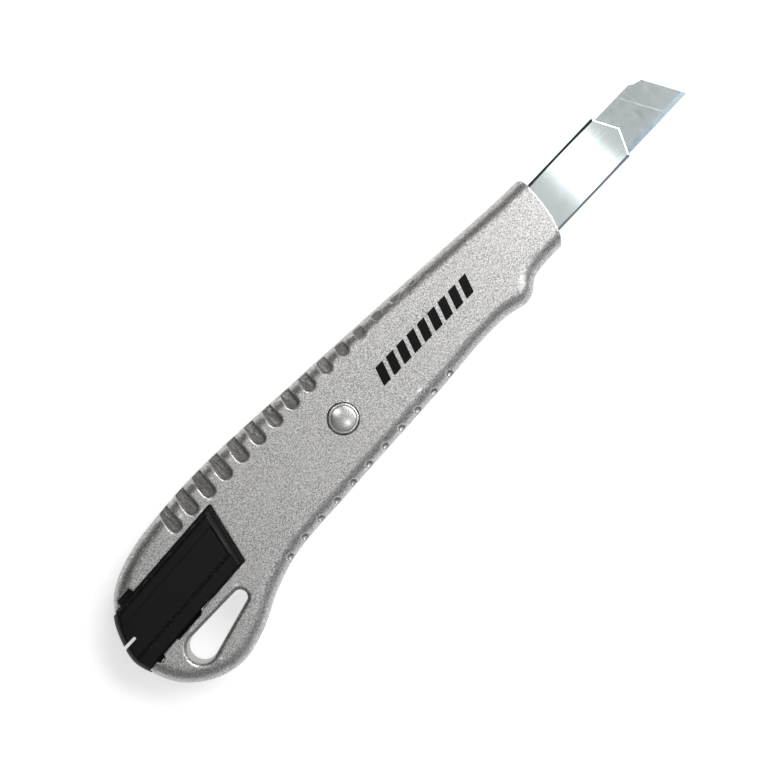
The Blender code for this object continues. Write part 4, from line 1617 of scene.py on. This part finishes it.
@dataclass
class Studio:
    """White table, soft light from above and a camera that looks straight down."""

    heading: float = math.radians(46.5)
    aim: Span = (9.9, -1.05)
    height: float = 450.0
    span: float = 143.3
    aim_level: float = 8.6
    rise: tuple[tuple[float, tuple[float, float, float]], ...] = (
        (0.0, (0.30, 0.30, 0.30)), (0.3, (0.18, 0.18, 0.18)), (0.6, (0.16, 0.16, 0.16)),
        (0.85, (0.24, 0.24, 0.24)), (0.95, (0.40, 0.40, 0.40)), (0.99, (0.64, 0.64, 0.64)))
    side: tuple[tuple[float, tuple[float, float, float]], ...] = (
        (0.2, (1.2, 1.26, 1.4)), (0.40, (1.1, 1.13, 1.2)), (0.5, (1.0, 1.0, 1.0)),
        (0.55, (1.0, 1.0, 1.0)), (0.63, (0.36, 0.355, 0.35)), (0.9, (0.18, 0.175, 0.17)))

    def axes(self) -> tuple[Vector, Vector]:
        """The picture's right and up directions on the table."""
        c, s = math.cos(self.heading), math.sin(self.heading)
        return Vector((c, -s, 0)), Vector((s, c, 0))

    def build_camera(self) -> bpy.types.Object:
        """Sets the camera over the knife.

        Returns:
            The camera.
        """
        data = bpy.data.cameras.new("camera")
        camera = bpy.data.objects.new("camera", data)
        bpy.context.scene.collection.objects.link(camera)
        right, up = self.axes()
        turn = Matrix((right, up, Vector((0, 0, 1)))).transposed().to_4x4()
        spot = place(*self.aim, self.aim_level + self.height)
        camera.matrix_world = Matrix.Translation(spot) @ turn
        data.sensor_width = 36
        data.lens = 36 * self.height / self.span
        bpy.context.scene.camera = camera
        return camera

    def build_floor(self) -> bpy.types.Object:
        """Lays the white table top.

        Returns:
            The table top.
        """
        bpy.ops.object.select_all(action="DESELECT")
        bpy.ops.mesh.primitive_plane_add(size=6, location=(0, 0, -0.05 * MM))
        floor = bpy.context.object
        floor.name = "table_top"
        floor.data.materials.append(StudioWhite().material())
        return floor

    def build_sky(self) -> None:
        """Wraps the table in a tent: bright overhead, dark behind the spine, bluish opposite."""
        world = bpy.data.worlds.new("tent")
        bpy.context.scene.world = world
        world.use_nodes = True
        tree = world.node_tree
        spot = tree.nodes.new("ShaderNodeTexCoord").outputs["Generated"]
        parts = tree.nodes.new("ShaderNodeSeparateXYZ")
        tree.links.new(spot, parts.inputs[0])
        rise = self.ramp(tree, parts.outputs["Z"], self.rise)
        shift = tree.nodes.new("ShaderNodeMapRange")
        shift.inputs["From Min"].default_value = -1.0
        tree.links.new(parts.outputs["Y"], shift.inputs["Value"])
        side = self.ramp(tree, shift.outputs["Result"], self.side)
        both = tree.nodes.new("ShaderNodeMix")
        both.data_type, both.blend_type = "RGBA", "MULTIPLY"
        both.inputs[0].default_value = 1.0
        tree.links.new(rise, both.inputs[6])
        tree.links.new(side, both.inputs[7])
        tree.links.new(both.outputs[2], tree.nodes["Background"].inputs["Color"])

    @staticmethod
    def ramp(tree: bpy.types.NodeTree, value: bpy.types.NodeSocket,
             stops: tuple[tuple[float, tuple[float, float, float]], ...]) -> bpy.types.NodeSocket:
        """Turns a value into a colour along a row of stops.

        Args:
            tree: The node tree to add to.
            value: The output that carries the value.
            stops: Each stop as its position and its colour.

        Returns:
            The output that carries the colour.
        """
        node = tree.nodes.new("ShaderNodeValToRGB")
        tree.links.new(value, node.inputs[0])
        elements = node.color_ramp.elements
        for i, (position, colour) in enumerate(stops):
            stop = elements[i] if i < 2 else elements.new(position)
            stop.position = position
            stop.color = (*colour, 1)
        return node.outputs[0]

    def soft_box(self, name: str, middle: tuple[float, float, float], size: Span,
                 brightness: float, aim: tuple[float, float, float] = (20, 0, 8)
                 ) -> bpy.types.Object:
        """Hangs a soft box.

        Args:
            name: Name of the light.
            middle: Its place on the plan and its height.
            size: Its length along the blade and across it.
            brightness: How bright its face is; the white table is about 1.
            aim: The place that it faces.

        Returns:
            The light.
        """
        data = bpy.data.lights.new(name, "AREA")
        data.shape = "RECTANGLE"
        data.size, data.size_y = size[0] * MM, size[1] * MM
        data.energy = brightness * math.pi * data.size * data.size_y
        light = bpy.data.objects.new(name, data)
        bpy.context.scene.collection.objects.link(light)
        light.location = place(*middle)
        facing = (light.location - place(*aim)).normalized()
        across = facing.cross(Vector((1, 0, 0))).normalized()
        turn = Matrix((across.cross(facing), across, facing)).transposed()
        light.rotation_euler = turn.to_euler()
        return light

    def build_lights(self) -> None:
        """Hangs the strip that gleams in the sheath, the key box and two small boxes."""
        self.soft_box("strip", (126.3, 0, 500), (19, 500), 1.5, (126.3, 0, 0))
        self.soft_box("key", (262, 0, 330), (190, 420), 7.6)
        self.soft_box("spine box", (0, 190, 520), (130, 130), 3.5)
        self.soft_box("belly box", (0, -115, 520), (90, 90), 3.5)

    def build(self) -> None:
        """Sets up the whole studio."""
        self.build_camera()
        self.build_floor()
        self.build_sky()
        self.build_lights()
        bpy.context.scene.view_settings.view_transform = "Standard"


def main() -> None:
    """Builds every piece in order."""
    logging.basicConfig(level=logging.INFO, format="%(name)s %(message)s")
    Studio().build()
    handle, cap = HandleCasting(), EndCap()
    handle.build(cap)
    PrintedBars().build()
    FoldedSheath().build()
    DomedRivet().build()
    SnapBlade().build()
    slider = SliderGroup()
    slider.build_knob()
    slider.build_spring()
    slider.dress_carriage()
    cap.build(handle)


if __name__ == "__main__":
    main()
